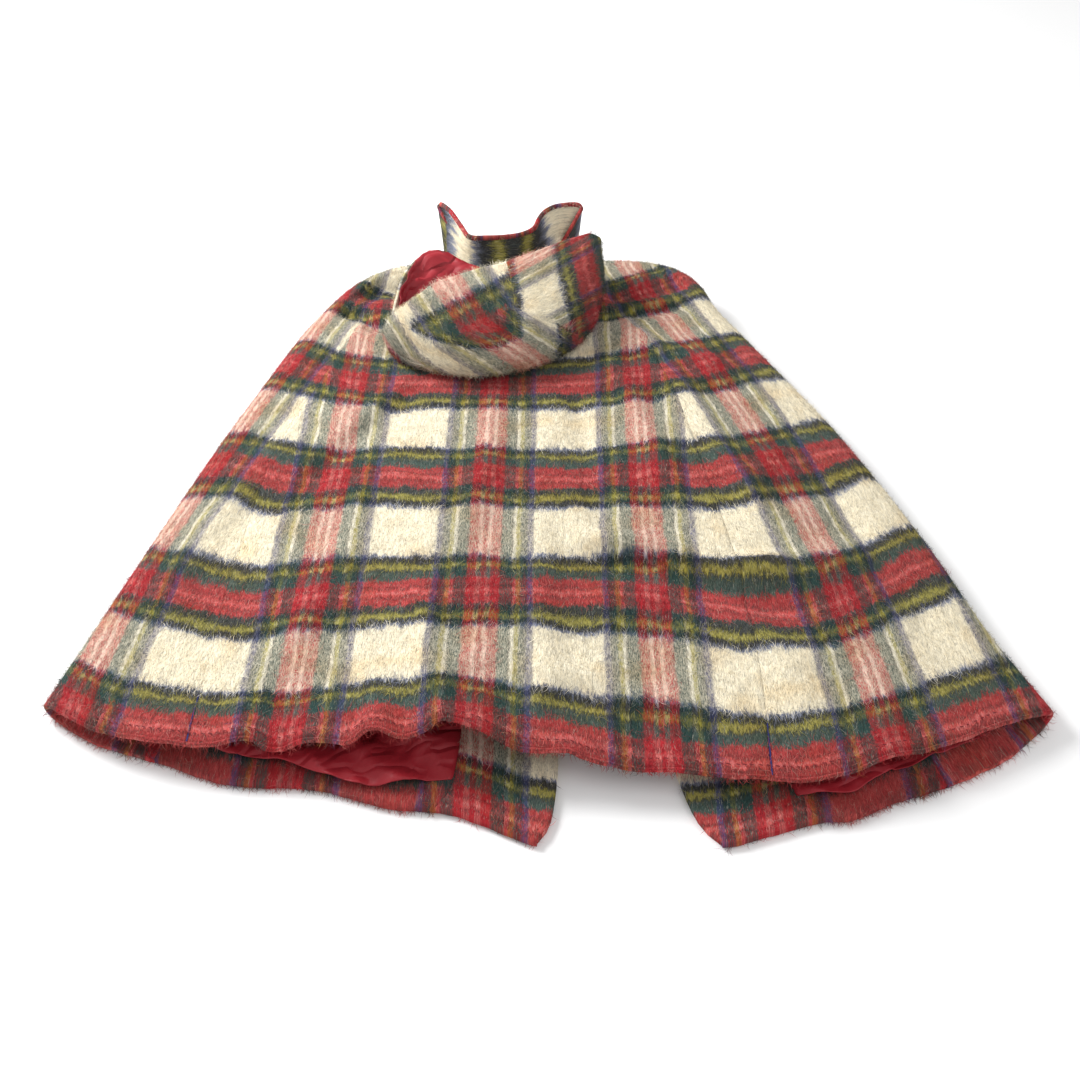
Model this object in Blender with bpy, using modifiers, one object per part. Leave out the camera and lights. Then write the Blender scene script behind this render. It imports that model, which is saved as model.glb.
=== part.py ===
"""A hooded plaid cape lying face down on a flat surface, its back up, its hem towards -Y and its neck towards +Y.

Metres, +Z up. The origin is on the surface, below the middle of the cape's box.
Every piece of cloth is a grid in its own two directions, laid on the cape by the tables below and then given its wall.
"""
import math
from collections import namedtuple

import bmesh
import bpy
from mathutils import Vector

# Half way between the fronts' lower corner and the collar's tip, in the y of the tables below
MIDDLE_Y = -0.0134

# Cloth
CLOTH = 0.003
LINING = 0.001
GAP = 0.0003
SEAM = GAP

# The body, from the hem to the neck. `at` is the share of the way up. The back is highest at mid_z, and the
# side folds are half rounds of radius fold. The seams join the back to the side panels.
Row = namedtuple("Row", "at mid_y left_x left_y right_x right_y seam_left seam_right mid_z fold power")
ROWS = (
    Row(0.00, -0.402, -0.461, -0.330, 0.461, -0.328, -0.315, 0.193, 0.034, 0.011, 2.2),
    Row(0.14, -0.300, -0.438, -0.237, 0.426, -0.237, -0.314, 0.195, 0.039, 0.012, 2.2),
    Row(0.30, -0.160, -0.408, -0.113, 0.391, -0.113, -0.312, 0.186, 0.043, 0.013, 2.2),
    Row(0.46, 0.010, -0.370, 0.035, 0.335, 0.040, -0.295, 0.160, 0.045, 0.015, 2.4),
    Row(0.58, 0.110, -0.340, 0.135, 0.292, 0.132, -0.268, 0.140, 0.046, 0.017, 2.6),
    Row(0.68, 0.180, -0.314, 0.215, 0.250, 0.214, -0.246, 0.122, 0.046, 0.020, 2.6),
    Row(0.76, 0.225, -0.289, 0.272, 0.214, 0.284, -0.228, 0.100, 0.046, 0.023, 2.4),
    Row(0.83, 0.258, -0.260, 0.324, 0.198, 0.334, -0.206, 0.076, 0.046, 0.025, 2.2),
    Row(0.90, 0.285, -0.224, 0.358, 0.168, 0.370, -0.168, 0.044, 0.048, 0.026, 2.0),
    Row(0.95, 0.303, -0.184, 0.375, 0.114, 0.388, -0.134, 0.014, 0.050, 0.026, 2.0),
    Row(1.00, 0.318, -0.138, 0.386, 0.030, 0.390, -0.098, -0.010, 0.052, 0.025, 2.0),
)

# The back's hem, from its left fold to its right one: how far out it reaches and how high it lies
Hem = namedtuple("Hem", "x y z")
BACK_HEM = (
    Hem(-0.461, -0.330, 0.022),
    Hem(-0.384, -0.367, 0.027),
    Hem(-0.310, -0.382, 0.031),
    Hem(-0.245, -0.378, 0.035),
    Hem(-0.155, -0.378, 0.047),
    Hem(-0.090, -0.374, 0.051),
    Hem(-0.038, -0.383, 0.045),
    Hem(0.037, -0.397, 0.034),
    Hem(0.100, -0.404, 0.030),
    Hem(0.192, -0.409, 0.028),
    Hem(0.263, -0.400, 0.032),
    Hem(0.310, -0.385, 0.036),
    Hem(0.378, -0.362, 0.030),
    Hem(0.461, -0.328, 0.022),
)

# The fronts' hem, on the surface
Edge = namedtuple("Edge", "x y")
FRONT_HEM = (
    Edge(-0.461, -0.330),
    Edge(-0.406, -0.362),
    Edge(-0.340, -0.383),
    Edge(-0.282, -0.403),
    Edge(-0.201, -0.408),
    Edge(-0.140, -0.425),
    Edge(-0.080, -0.432),
    Edge(-0.028, -0.453),
    Edge(-0.008, -0.460),
    Edge(0.070, -0.462),
    Edge(0.150, -0.460),
    Edge(0.191, -0.449),
    Edge(0.233, -0.436),
    Edge(0.263, -0.433),
    Edge(0.296, -0.418),
    Edge(0.346, -0.401),
    Edge(0.380, -0.386),
    Edge(0.416, -0.366),
    Edge(0.461, -0.328),
)
FRONT_NECK_Y = 0.300

# How the body's curves fade: the back's crown towards the folds, the hem's shape and lift towards the neck
CROWN_POWER = 4
EDGE_POWER = 8
HEM_FADE = 3
LIFT_REACH = 0.7
RIPPLE_START = 0.15
HALVINGS = 24

# The side panels: the share of the underside that they cover, and their columns over the top, round and under
UNDER_SHARE = 0.22
SIDE_COLUMNS = (8, 5, 3)

# The two front edges, from the hem to the neck
Opening = namedtuple("Opening", "at left right")
FRONT_EDGES = (
    Opening(0.00, -0.008, 0.148),
    Opening(0.02, 0.001, 0.135),
    Opening(0.05, 0.006, 0.125),
    Opening(0.12, 0.010, 0.112),
    Opening(0.30, 0.010, 0.086),
    Opening(0.50, 0.000, 0.050),
    Opening(0.70, -0.020, 0.012),
    Opening(0.90, -0.048, -0.034),
    Opening(1.00, -0.060, -0.049),
)

# The layers inside the fronts
LAYER_GAP = 0.001
FACING_WIDTH = 0.088
FACING_MOST = 0.62

# How far above the fronts' hem the lining's loose lower edge hangs, as a share of the way up
Reach = namedtuple("Reach", "x at")
LINING_EDGE = (
    Reach(-0.450, 0.040),
    Reach(-0.300, 0.035),
    Reach(-0.245, 0.026),
    Reach(-0.200, 0.012),
    Reach(-0.165, 0.014),
    Reach(-0.140, 0.026),
    Reach(-0.100, 0.044),
    Reach(-0.080, 0.050),
    Reach(0.210, 0.050),
    Reach(0.246, 0.031),
    Reach(0.280, 0.025),
    Reach(0.330, 0.034),
    Reach(0.385, 0.036),
    Reach(0.450, 0.040),
)
LINING_TOP = 0.97
LINING_PUFF = 0.0035
LINING_WAVE = 0.052
LINING_TURN = 9
LINING_ROW_POWER = 1.5

# Soft ripples that run down the back, and the creases below the two shoulders
Ripple = namedtuple("Ripple", "hem_x top_x width height fade")
RIPPLES = (
    Ripple(-0.345, -0.265, 0.026, -0.0030, 0.9),
    Ripple(-0.225, -0.180, 0.030, -0.0035, 0.8),
    Ripple(-0.120, -0.110, 0.040, 0.0040, 0.6),
    Ripple(0.010, -0.020, 0.028, 0.0022, 0.7),
    Ripple(0.120, 0.060, 0.030, -0.0030, 0.8),
    Ripple(0.250, 0.150, 0.030, 0.0035, 0.9),
    Ripple(0.345, 0.215, 0.022, -0.0030, 0.8),
)
Crease = namedtuple("Crease", "x1 y1 x2 y2 width depth")
CREASES = (
    Crease(0.085, 0.300, 0.160, 0.318, 0.016, 0.012),
    Crease(-0.232, 0.300, -0.165, 0.318, 0.016, 0.012),
)

# The hood, from its left tip to its right end: its near rim, its far rim and the bottom of its pouch
Fold = namedtuple("Fold", "at rim_x rim_y rim_z far_x far_y far_z crown_x crown_y")
HOOD = (
    Fold(0.00, -0.190, 0.178, 0.084, -0.192, 0.190, 0.068, -0.198, 0.180),
    Fold(0.12, -0.172, 0.200, 0.093, -0.190, 0.245, 0.073, -0.180, 0.148),
    Fold(0.22, -0.148, 0.226, 0.100, -0.182, 0.305, 0.076, -0.146, 0.124),
    Fold(0.33, -0.120, 0.244, 0.105, -0.150, 0.338, 0.084, -0.108, 0.112),
    Fold(0.42, -0.097, 0.254, 0.108, -0.112, 0.330, 0.070, -0.080, 0.110),
    Fold(0.55, -0.059, 0.268, 0.111, -0.055, 0.304, 0.064, -0.036, 0.121),
    Fold(0.70, -0.010, 0.296, 0.114, -0.004, 0.318, 0.066, 0.012, 0.150),
    Fold(0.85, 0.032, 0.322, 0.115, 0.040, 0.340, 0.074, 0.050, 0.205),
    Fold(1.00, 0.062, 0.338, 0.110, 0.066, 0.344, 0.088, 0.068, 0.290),
)

# How full the hood's pouch is, how high it stands off the back, and the shares that its ends and crown take to round
HOOD_PUFF = 0.014
HOOD_HEIGHT = 0.034
HOOD_CLEAR = 0.0008
HOOD_END = 0.10
HOOD_CROWN = 0.16
HOOD_SEAM = 0.0006
HOOD_TIP = 0.05
LIE_DEPTH = 0.3
LIE_POWER = 0.8

# The collar, from its left front end round the neck to its right one: its upper edge. Its lower edge is the neck.
Stand = namedtuple("Stand", "at x y z")
COLLAR = (
    Stand(-3.00, -0.062, 0.352, 0.010),
    Stand(-2.40, -0.094, 0.368, 0.028),
    Stand(-2.00, -0.116, 0.392, 0.064),
    Stand(-1.70, -0.140, 0.418, 0.088),
    Stand(-1.50, -0.147, 0.431, 0.098),
    Stand(-1.30, -0.132, 0.408, 0.101),
    Stand(-1.15, -0.117, 0.376, 0.099),
    Stand(-0.90, -0.105, 0.352, 0.097),
    Stand(-0.45, -0.080, 0.350, 0.097),
    Stand(0.00, -0.055, 0.353, 0.097),
    Stand(0.45, -0.034, 0.359, 0.098),
    Stand(0.80, -0.020, 0.371, 0.100),
    Stand(1.00, -0.014, 0.393, 0.101),
    Stand(1.15, -0.006, 0.411, 0.101),
    Stand(1.30, 0.010, 0.426, 0.100),
    Stand(1.50, 0.038, 0.432, 0.097),
    Stand(1.70, 0.032, 0.418, 0.086),
    Stand(2.00, 0.012, 0.392, 0.062),
    Stand(2.40, -0.014, 0.368, 0.028),
    Stand(3.00, -0.047, 0.352, 0.010),
)

# The collar's foot stands clear of the panels, and further clear where it turns under them
COLLAR_GAP = 0.0008
COLLAR_UNDER_GAP = 0.0056
COLLAR_FOLD_RATE = 2

# Grid steps: across, along. The turned-up hem covers the body's first rows.
BODY_ROWS = 20
HEM_ROWS = 1
FRONT_CORNER = 0.02
FRONT_ROWS = BODY_ROWS + 1
BACK_STEPS = (18, BODY_ROWS)
SIDE_STEPS = (sum(SIDE_COLUMNS), BODY_ROWS)
FRONT_STEPS = (7, FRONT_ROWS)
FACING_STEPS = (3, FRONT_ROWS)
TURN_UP_STEPS = (8, 2)
LINING_STEPS = (12, 10)
HOOD_COLUMNS = 20
HOOD_ROWS = 8
COLLAR_ROWS = 4
WELD = 1e-5

CREAM = (0.78, 0.70, 0.58)
RED_CLOTH = (0.42, 0.05, 0.06)
GREEN_CLOTH = (0.10, 0.16, 0.13)
RED_LINING = (0.33, 0.02, 0.035)


def clear_scene():
    for obj in list(bpy.data.objects):
        bpy.data.objects.remove(obj, do_unlink=True)


def cloth_material(name, colour, roughness):
    material = bpy.data.materials.new(name)
    material.use_nodes = True
    shader = material.node_tree.nodes["Principled BSDF"]
    shader.inputs["Base Color"].default_value = (*colour, 1.0)
    shader.inputs["Roughness"].default_value = roughness
    shader.inputs["Metallic"].default_value = 0.0
    return material


def read(table, key, column, place):
    """A table's column at a place between its rows, on a curve without corners."""
    keys = [getattr(row, key) for row in table]
    values = [getattr(row, column) for row in table]
    last = len(keys) - 1
    place = min(max(place, keys[0]), keys[last])
    i = next((n for n in range(last) if place <= keys[n + 1]), last - 1)

    def slope(n):
        before, after = max(n - 1, 0), min(n + 1, last)
        return (values[after] - values[before]) / (keys[after] - keys[before])

    span = keys[i + 1] - keys[i]
    s = (place - keys[i]) / span
    rise = values[i + 1] - values[i]
    left, right = slope(i) * span, slope(i + 1) * span
    return (
        values[i]
        + left * s
        + (3 * rise - 2 * left - right) * s * s
        + (left + right - 2 * rise) * s**3
    )


def row_at(f):
    """The body's row at share f of the way up, with every column read from the table."""
    return Row(f, *(read(ROWS, "at", column, f) for column in Row._fields[1:]))


def middle(row):
    return (row.left_x + row.right_x) / 2


def half_width(row):
    return (row.right_x - row.left_x) / 2


def across(row, x):
    """Where x lies between the folds: -1 at the left one, 1 at the right one."""
    return min(max((x - middle(row)) / half_width(row), -1), 1)


def fold_y(row, t):
    return row.left_y if t < 0 else row.right_y


def upper_y(row, x):
    """How far up the back's cloth lies at x."""
    t = across(row, x)
    plain = row.mid_y + (fold_y(row, t) - row.mid_y) * abs(t) ** row.power
    hem = ROWS[0]
    hem_x = middle(hem) + half_width(hem) * t
    at_hem = hem.mid_y + (fold_y(hem, t) - hem.mid_y) * abs(t) ** hem.power
    return plain + (read(BACK_HEM, "x", "y", hem_x) - at_hem) * (1 - row.at) ** HEM_FADE


def under_y(row, x):
    """How far up the fronts' cloth lies at x."""
    t = across(row, x)
    hem, neck = ROWS[0], ROWS[-1]
    first, last = fold_y(hem, t), fold_y(neck, t)
    share = (fold_y(row, t) - first) / (last - first)
    hem_y = read(FRONT_HEM, "x", "y", middle(hem) + half_width(hem) * t)
    neck_y = FRONT_NECK_Y + (last - FRONT_NECK_Y) * t * t
    return hem_y + (neck_y - hem_y) * share


def crease_depth(x, y):
    depth = 0.0
    for crease in CREASES:
        run = Vector((crease.x2 - crease.x1, crease.y2 - crease.y1))
        away = Vector((x - crease.x1, y - crease.y1))
        along = min(max(away.dot(run) / run.length_squared, 0), 1)
        off = (away - run * along).length / crease.width
        depth += crease.depth * math.exp(-off * off)
    return depth


def ripple_height(row, x):
    height = 0.0
    for ripple in RIPPLES:
        centre = ripple.hem_x + (ripple.top_x - ripple.hem_x) * row.at
        off = (x - centre) / ripple.width
        height += ripple.height * max(1 - row.at / ripple.fade, 0) * math.exp(-off * off)
    return height


def upper_z(row, x):
    """How high the back's outer face lies at x."""
    t = across(row, x)
    edge = 2 * row.fold
    plain = edge + (row.mid_z - edge) * (1 - abs(t) ** CROWN_POWER)
    hem = ROWS[0]
    at_hem = read(BACK_HEM, "x", "z", middle(hem) + half_width(hem) * t)
    hem_plain = 2 * hem.fold + (hem.mid_z - 2 * hem.fold) * (1 - abs(t) ** CROWN_POWER)
    inside = 1 - abs(t) ** EDGE_POWER
    lifted = (at_hem - hem_plain) * max(1 - row.at / LIFT_REACH, 0) ** 2
    rippled = ripple_height(row, x) * min(row.at / RIPPLE_START, 1)
    return plain + (lifted + rippled - crease_depth(x, upper_y(row, x))) * inside


def upper_point(row, x, drop=0.0):
    return Vector((x, upper_y(row, x), upper_z(row, x) - drop))


def under_point(row, x, lift=0.0):
    return Vector((x, under_y(row, x), lift))


def height_at(x, y):
    """How high the back's outer face lies at a place on the surface."""
    low, high = 0.0, 1.0
    for _ in range(HALVINGS):
        f = (low + high) / 2
        if upper_y(row_at(f), x) < y:
            low = f
        else:
            high = f
    return upper_z(row_at(low), x)


def front_edge(row, side):
    return read(FRONT_EDGES, "at", side, row.at)


def under_seam(row, side):
    """Where the side panel meets the front, on the underside."""
    reach = row.fold + UNDER_SHARE * half_width(row)
    return row.left_x + reach if side == "left" else row.right_x - reach


def fold_point(row, side, turn):
    """A point on a side fold: turn is 0 where the back starts, and pi where the underside starts."""
    out = -1 if side == "left" else 1
    edge_x = row.left_x if side == "left" else row.right_x
    x = edge_x - out * row.fold * (1 - math.sin(turn))
    level = upper_y(row, x) if turn < math.pi / 2 else under_y(row, x)
    return Vector((x, level, row.fold * (1 + math.cos(turn))))


def side_path(row, side, share):
    """A side panel's point, from its seam with the back, over the top, round the fold and under."""
    columns = sum(SIDE_COLUMNS)
    fold_from, fold_to = SIDE_COLUMNS[0] / columns, 1 - SIDE_COLUMNS[2] / columns
    out = -1 if side == "left" else 1
    edge_x = row.left_x if side == "left" else row.right_x
    seam_x = (row.seam_left if side == "left" else row.seam_right) + out * SEAM
    start_x = edge_x - out * row.fold
    end_x = under_seam(row, side) + out * SEAM
    if share <= fold_from:
        return upper_point(row, seam_x + (start_x - seam_x) * share / fold_from)
    if share <= fold_to:
        return fold_point(row, side, math.pi * (share - fold_from) / (fold_to - fold_from))
    return under_point(row, start_x + (end_x - start_x) * (share - fold_to) / (1 - fold_to))


def ring_point(row, at):
    """A point round the whole body: -1 to 1 over the back, on to 2 round a fold, and to 3 at a front edge."""
    side = "left" if at < 0 else "right"
    out = -1 if at < 0 else 1
    edge_x = row.left_x if at < 0 else row.right_x
    start_x = edge_x - out * row.fold
    if abs(at) <= 1:
        return upper_point(row, middle(row) + (half_width(row) - row.fold) * at)
    if abs(at) <= 2:
        return fold_point(row, side, math.pi * (abs(at) - 1))
    return under_point(row, start_x + (front_edge(row, side) - start_x) * (abs(at) - 2))


def grid_mesh(steps, place, kept=1.0):
    """An open grid with place(u, v) for each point, u across and v along, from 0 to 1, and rows past kept tagged."""
    bm = bmesh.new()
    bmesh.ops.create_grid(bm, x_segments=steps[0], y_segments=steps[1], size=0.5)
    for vert in bm.verts:
        along = vert.co.y + 0.5
        vert.tag = along > kept + WELD
        vert.co = place(vert.co.x + 0.5, along)
    return bm


def drop_tagged(bm):
    bmesh.ops.delete(bm, geom=[vert for vert in bm.verts if vert.tag], context="VERTS")


def move_in(bm, distance):
    """Moves a sheet's points off the cloth that it lies on."""
    bm.normal_update()
    moved = [vert.co - vert.normal * distance for vert in bm.verts]
    for vert, place in zip(bm.verts, moved):
        vert.co = place


def finish(collection, name, bm, wall, outward, material):
    """Makes the object and gives its sheet a wall, behind the face that is outward."""
    mesh = bpy.data.meshes.new(name)
    bm.to_mesh(mesh)
    bm.free()
    mesh.shade_smooth()
    mesh.materials.append(material)
    obj = bpy.data.objects.new(name, mesh)
    obj.location.y = -MIDDLE_Y
    collection.objects.link(obj)
    solid = obj.modifiers.new("Wall", "SOLIDIFY")
    solid.thickness = wall
    solid.offset = -1 if outward else 1
    solid.use_rim = True
    solid.use_even_offset = False
    return obj


def back_place(u, v):
    row = row_at(v)
    first, last = row.seam_left + SEAM, row.seam_right - SEAM
    return upper_point(row, first + (last - first) * u)


def side_place(side):
    return lambda u, v: side_path(row_at(v), side, 1 - u if side == "left" else u)


def build_body_panel(collection, name, hem_name, steps, place, cloth, hem_cloth):
    """A panel of the body, and the strip of it that is turned up inside its hem."""
    finish(collection, name, grid_mesh(steps, place), CLOTH, True, cloth)
    hem = grid_mesh(steps, place, HEM_ROWS / BODY_ROWS)
    move_in(hem, CLOTH + GAP)
    drop_tagged(hem)
    finish(collection, hem_name, hem, CLOTH, True, hem_cloth)


def front_row(v):
    """The fronts have the body's rows, and one more across the rounded corner at the hem."""
    step = round(v * FRONT_ROWS)
    return row_at(FRONT_CORNER if step == 1 else max(step - 1, 0) / BODY_ROWS)


def between(side, first, last, u):
    """Runs from left to right on both sides, so that every sheet on the surface faces up."""
    return first + (last - first) * (u if side == "left" else 1 - u)


def build_front(collection, side, material):
    out = -1 if side == "left" else 1

    def place(u, v):
        row = front_row(v)
        seam_x = under_seam(row, side) - out * SEAM
        return under_point(row, between(side, seam_x, front_edge(row, side), u))

    finish(collection, f"front_{side}", grid_mesh(FRONT_STEPS, place), CLOTH, False, material)


def facing_edge(row, side):
    """The facing's inner edge."""
    edge_x = front_edge(row, side)
    width = abs(edge_x - under_seam(row, side))
    reach = min(FACING_WIDTH, FACING_MOST * width)
    return edge_x - reach if side == "left" else edge_x + reach


def build_facing(collection, side, material):
    def place(u, v):
        row = front_row(v)
        x = between(side, facing_edge(row, side), front_edge(row, side), u)
        return under_point(row, x, CLOTH + GAP)

    finish(collection, f"facing_{side}", grid_mesh(FACING_STEPS, place), CLOTH, False, material)


def build_turn_up(collection, side, material):
    out = -1 if side == "left" else 1

    def place(u, v):
        row = front_row(v * (HEM_ROWS + 1) / FRONT_ROWS)
        first = under_seam(row, side) - out * SEAM
        last = facing_edge(row, side) + out * LAYER_GAP
        return under_point(row, between(side, first, last, u), CLOTH + GAP)

    finish(collection, f"hem_front_{side}", grid_mesh(TURN_UP_STEPS, place), CLOTH, False, material)


def build_lining(collection, side, material):
    out = -1 if side == "left" else 1

    def place(u, v):
        hem = row_at(0.0)
        hem_first = (hem.left_x if side == "left" else hem.right_x) - out * hem.fold
        hem_x = between(side, hem_first, facing_edge(hem, side), u)
        lowest = read(LINING_EDGE, "x", "at", hem_x)
        row = row_at(lowest + (LINING_TOP - lowest) * v**LINING_ROW_POWER)
        edge_x = row.left_x if side == "left" else row.right_x
        first = edge_x - out * row.fold
        last = facing_edge(row, side) + out * GAP
        x = between(side, first, last, u)
        wave = math.sin(math.pi * u) * (1 + math.sin(math.tau * x / LINING_WAVE + LINING_TURN * v))
        return under_point(row, x, 2 * (CLOTH + GAP) + LINING_PUFF * wave * (1 - v))

    finish(collection, f"lining_{side}", grid_mesh(LINING_STEPS, place), LINING, False, material)


def rounded(share):
    """Rises from 0 as a quarter round does, and is 1 from share 1 on."""
    return math.sqrt(max(1 - (1 - min(share, 1)) ** 2, 0))


def hood_point(turn, depth):
    """A point of the hood's pouch: turn is 0 at its left tip, half at its right end; depth is 0 at its rim."""
    near = 1 if turn <= 0.5 else -1
    a = (1 - math.cos(math.tau * turn)) / 2
    fold = Fold(a, *(read(HOOD, "at", column, a) for column in Fold._fields[1:]))
    floor = height_at(fold.crown_x, fold.crown_y) + HOOD_CLEAR
    rim = Vector((fold.rim_x, fold.rim_y, fold.rim_z))
    far = Vector((fold.far_x, fold.far_y, fold.far_z))
    upper = rim.lerp(Vector((fold.crown_x, fold.crown_y, floor + HOOD_HEIGHT)), depth)
    upper.z += HOOD_PUFF * math.sin(math.pi * depth)
    lower = far.lerp(Vector((fold.crown_x, fold.crown_y, floor)), depth)
    lie = height_at(lower.x, lower.y) + HOOD_CLEAR
    lower.z = far.z + (lie - far.z) * min(depth / LIE_DEPTH, 1) ** LIE_POWER
    round_end = rounded(min(a, 1 - a) / HOOD_END)
    round_crown = rounded((1 - depth) / HOOD_CROWN)
    half = (upper - lower) / 2 * round_end * round_crown
    return (upper + lower) / 2 + half * near


def hood_sheet(first, last, columns, kept=1.0):
    """A stretch of the hood, between two turns, with the near and far walls joined at the crown."""

    def place(u, v):
        return hood_point((first + (last - first) * u) % 1, 1 - v)

    bm = grid_mesh((columns, HOOD_ROWS), place, kept)
    bmesh.ops.remove_doubles(bm, verts=bm.verts, dist=WELD)
    return bm


def build_hood(collection, left_cloth, right_cloth):
    for side, first, cloth in (("left", -0.25, left_cloth), ("right", 0.25, right_cloth)):
        bm = hood_sheet(first + HOOD_SEAM, first + 0.5 - HOOD_SEAM, HOOD_COLUMNS)
        finish(collection, f"hood_{side}", bm, CLOTH, True, cloth)


def build_hood_lining(collection, material):
    """The lining is open at the hood's left tip, which is too narrow for it."""
    columns = round(2 * HOOD_COLUMNS * (1 - 2 * HOOD_TIP))
    bm = hood_sheet(HOOD_TIP, 1 - HOOD_TIP, columns, 1 - 1 / HOOD_ROWS)
    move_in(bm, CLOTH + GAP)
    drop_tagged(bm)
    finish(collection, "hood_lining", bm, LINING, True, material)


def stations(row):
    """Where the panels' columns lie round the neck, so that the collar's foot matches them."""
    half = half_width(row) - row.fold

    def steps(first, last, count):
        return [first + (last - first) * n / count for n in range(1, count + 1)]

    sides = {}
    for side, seam_x in (("left", row.seam_left), ("right", row.seam_right)):
        edge_x = row.left_x if side == "left" else row.right_x
        start = edge_x - math.copysign(row.fold, seam_x - middle(row))
        seam_at = abs(seam_x - middle(row)) / half
        under_at = 2 + (under_seam(row, side) - start) / (front_edge(row, side) - start)
        top, fold, under = SIDE_COLUMNS
        sides[side] = [seam_at, *steps(seam_at, 1, top), *steps(1, 2, fold)]
        sides[side] += [*steps(2, under_at, under), *steps(under_at, 3, FRONT_STEPS[0])]
    left = [-at for at in reversed(sides["left"])]
    back = steps(left[-1], sides["right"][0], BACK_STEPS[0])
    return left + back + sides["right"][1:]


def build_collar(collection, material):
    neck = row_at(1.0)
    round_neck = stations(neck)

    def place(u, v):
        at = round_neck[round(u * (len(round_neck) - 1))]
        foot = ring_point(neck, at)
        top = Vector([read(COLLAR, "at", axis, at) for axis in "xyz"])
        foot.y += COLLAR_GAP + COLLAR_UNDER_GAP * min(max(abs(at) - 1, 0) * COLLAR_FOLD_RATE, 1)
        return foot.lerp(top, v)

    bm = grid_mesh((len(round_neck) - 1, COLLAR_ROWS), place)
    finish(collection, "collar", bm, CLOTH, True, material)


def main():
    clear_scene()
    collection = bpy.data.collections.new("cape")
    bpy.context.scene.collection.children.link(collection)
    cream = cloth_material("plaid_cream", CREAM, 0.95)
    red = cloth_material("plaid_red", RED_CLOTH, 0.95)
    green = cloth_material("plaid_green", GREEN_CLOTH, 0.95)
    satin = cloth_material("red_lining", RED_LINING, 0.45)
    build_body_panel(collection, "back", "hem_back", BACK_STEPS, back_place, cream, green)
    for side in ("left", "right"):
        place = side_place(side)
        build_body_panel(collection, f"side_{side}", f"hem_side_{side}", SIDE_STEPS, place, red, green)
        build_front(collection, side, red)
        build_facing(collection, side, green)
        build_turn_up(collection, side, green)
        build_lining(collection, side, satin)
    build_hood(collection, red, cream)
    build_hood_lining(collection, satin)
    build_collar(collection, green)


main()
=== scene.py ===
"""The looks of a hooded mohair cape that lies face down, its back up and its hem towards the viewer.

Metres, +Z up. A piece is a thin sheet laid on its solid's form. Its UV map, "cut", says where each of its
points lies on the flat cloth, in metres, so that the plaid follows the cut.
"""
import math
from collections import namedtuple
from functools import lru_cache

import bmesh
import bpy
import numpy as np
from mathutils import Euler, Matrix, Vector, noise


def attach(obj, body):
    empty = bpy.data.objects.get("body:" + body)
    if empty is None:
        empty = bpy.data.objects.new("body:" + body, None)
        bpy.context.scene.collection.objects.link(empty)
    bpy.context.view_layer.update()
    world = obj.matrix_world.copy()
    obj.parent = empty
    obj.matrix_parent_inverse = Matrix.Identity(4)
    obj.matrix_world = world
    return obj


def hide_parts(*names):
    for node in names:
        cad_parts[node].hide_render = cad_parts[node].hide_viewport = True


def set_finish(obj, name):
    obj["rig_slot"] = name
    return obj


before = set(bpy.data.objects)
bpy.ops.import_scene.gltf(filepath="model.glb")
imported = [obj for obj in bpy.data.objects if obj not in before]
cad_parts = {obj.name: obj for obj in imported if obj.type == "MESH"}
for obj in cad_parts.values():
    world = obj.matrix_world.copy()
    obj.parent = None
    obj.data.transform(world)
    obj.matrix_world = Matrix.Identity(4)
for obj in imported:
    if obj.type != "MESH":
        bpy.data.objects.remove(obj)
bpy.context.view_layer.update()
MIDDLE_Y = -0.0134

# The camera, and the picture it takes
CAMERA_PLACE = Vector((0, -0.9666, 0.883))
CAMERA_PITCH = math.radians(45)
CAMERA_YAW = 0.0102
CAMERA_TURN = Euler((math.pi / 2 - CAMERA_PITCH, 0, CAMERA_YAW)).to_matrix()
FOCAL = 1177
PICTURE = 1080
PICTURE_MIDDLE = Vector((PICTURE / 2, PICTURE / 2))

# Cloth
CLOTH = 0.003
LINING = 0.001
GAP = 0.0003


def rows(kind, *values):
    return tuple(kind(*row) for row in values)


# The body's form, as its solids have it
Row = namedtuple("Row", "at mid_y left_x left_y right_x right_y seam_left seam_right mid_z fold power")
ROWS = rows(
    Row,
    (0.00, -0.402, -0.461, -0.330, 0.461, -0.328, -0.315, 0.193, 0.034, 0.011, 2.2),
    (0.14, -0.300, -0.438, -0.237, 0.426, -0.237, -0.314, 0.195, 0.039, 0.012, 2.2),
    (0.30, -0.160, -0.408, -0.113, 0.391, -0.113, -0.312, 0.186, 0.043, 0.013, 2.2),
    (0.46, 0.010, -0.370, 0.035, 0.335, 0.040, -0.295, 0.160, 0.045, 0.015, 2.4),
    (0.58, 0.110, -0.340, 0.135, 0.292, 0.132, -0.268, 0.140, 0.046, 0.017, 2.6),
    (0.68, 0.180, -0.314, 0.215, 0.250, 0.214, -0.246, 0.122, 0.046, 0.020, 2.6),
    (0.76, 0.225, -0.289, 0.272, 0.214, 0.284, -0.228, 0.100, 0.046, 0.023, 2.4),
    (0.83, 0.258, -0.260, 0.324, 0.198, 0.334, -0.206, 0.076, 0.046, 0.025, 2.2),
    (0.90, 0.285, -0.224, 0.358, 0.168, 0.370, -0.168, 0.044, 0.048, 0.026, 2.0),
    (0.95, 0.303, -0.184, 0.375, 0.114, 0.388, -0.134, 0.014, 0.050, 0.026, 2.0),
    (1.00, 0.318, -0.138, 0.386, 0.030, 0.390, -0.098, -0.010, 0.052, 0.025, 2.0),
)
Hem = namedtuple("Hem", "x y z")
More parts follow.
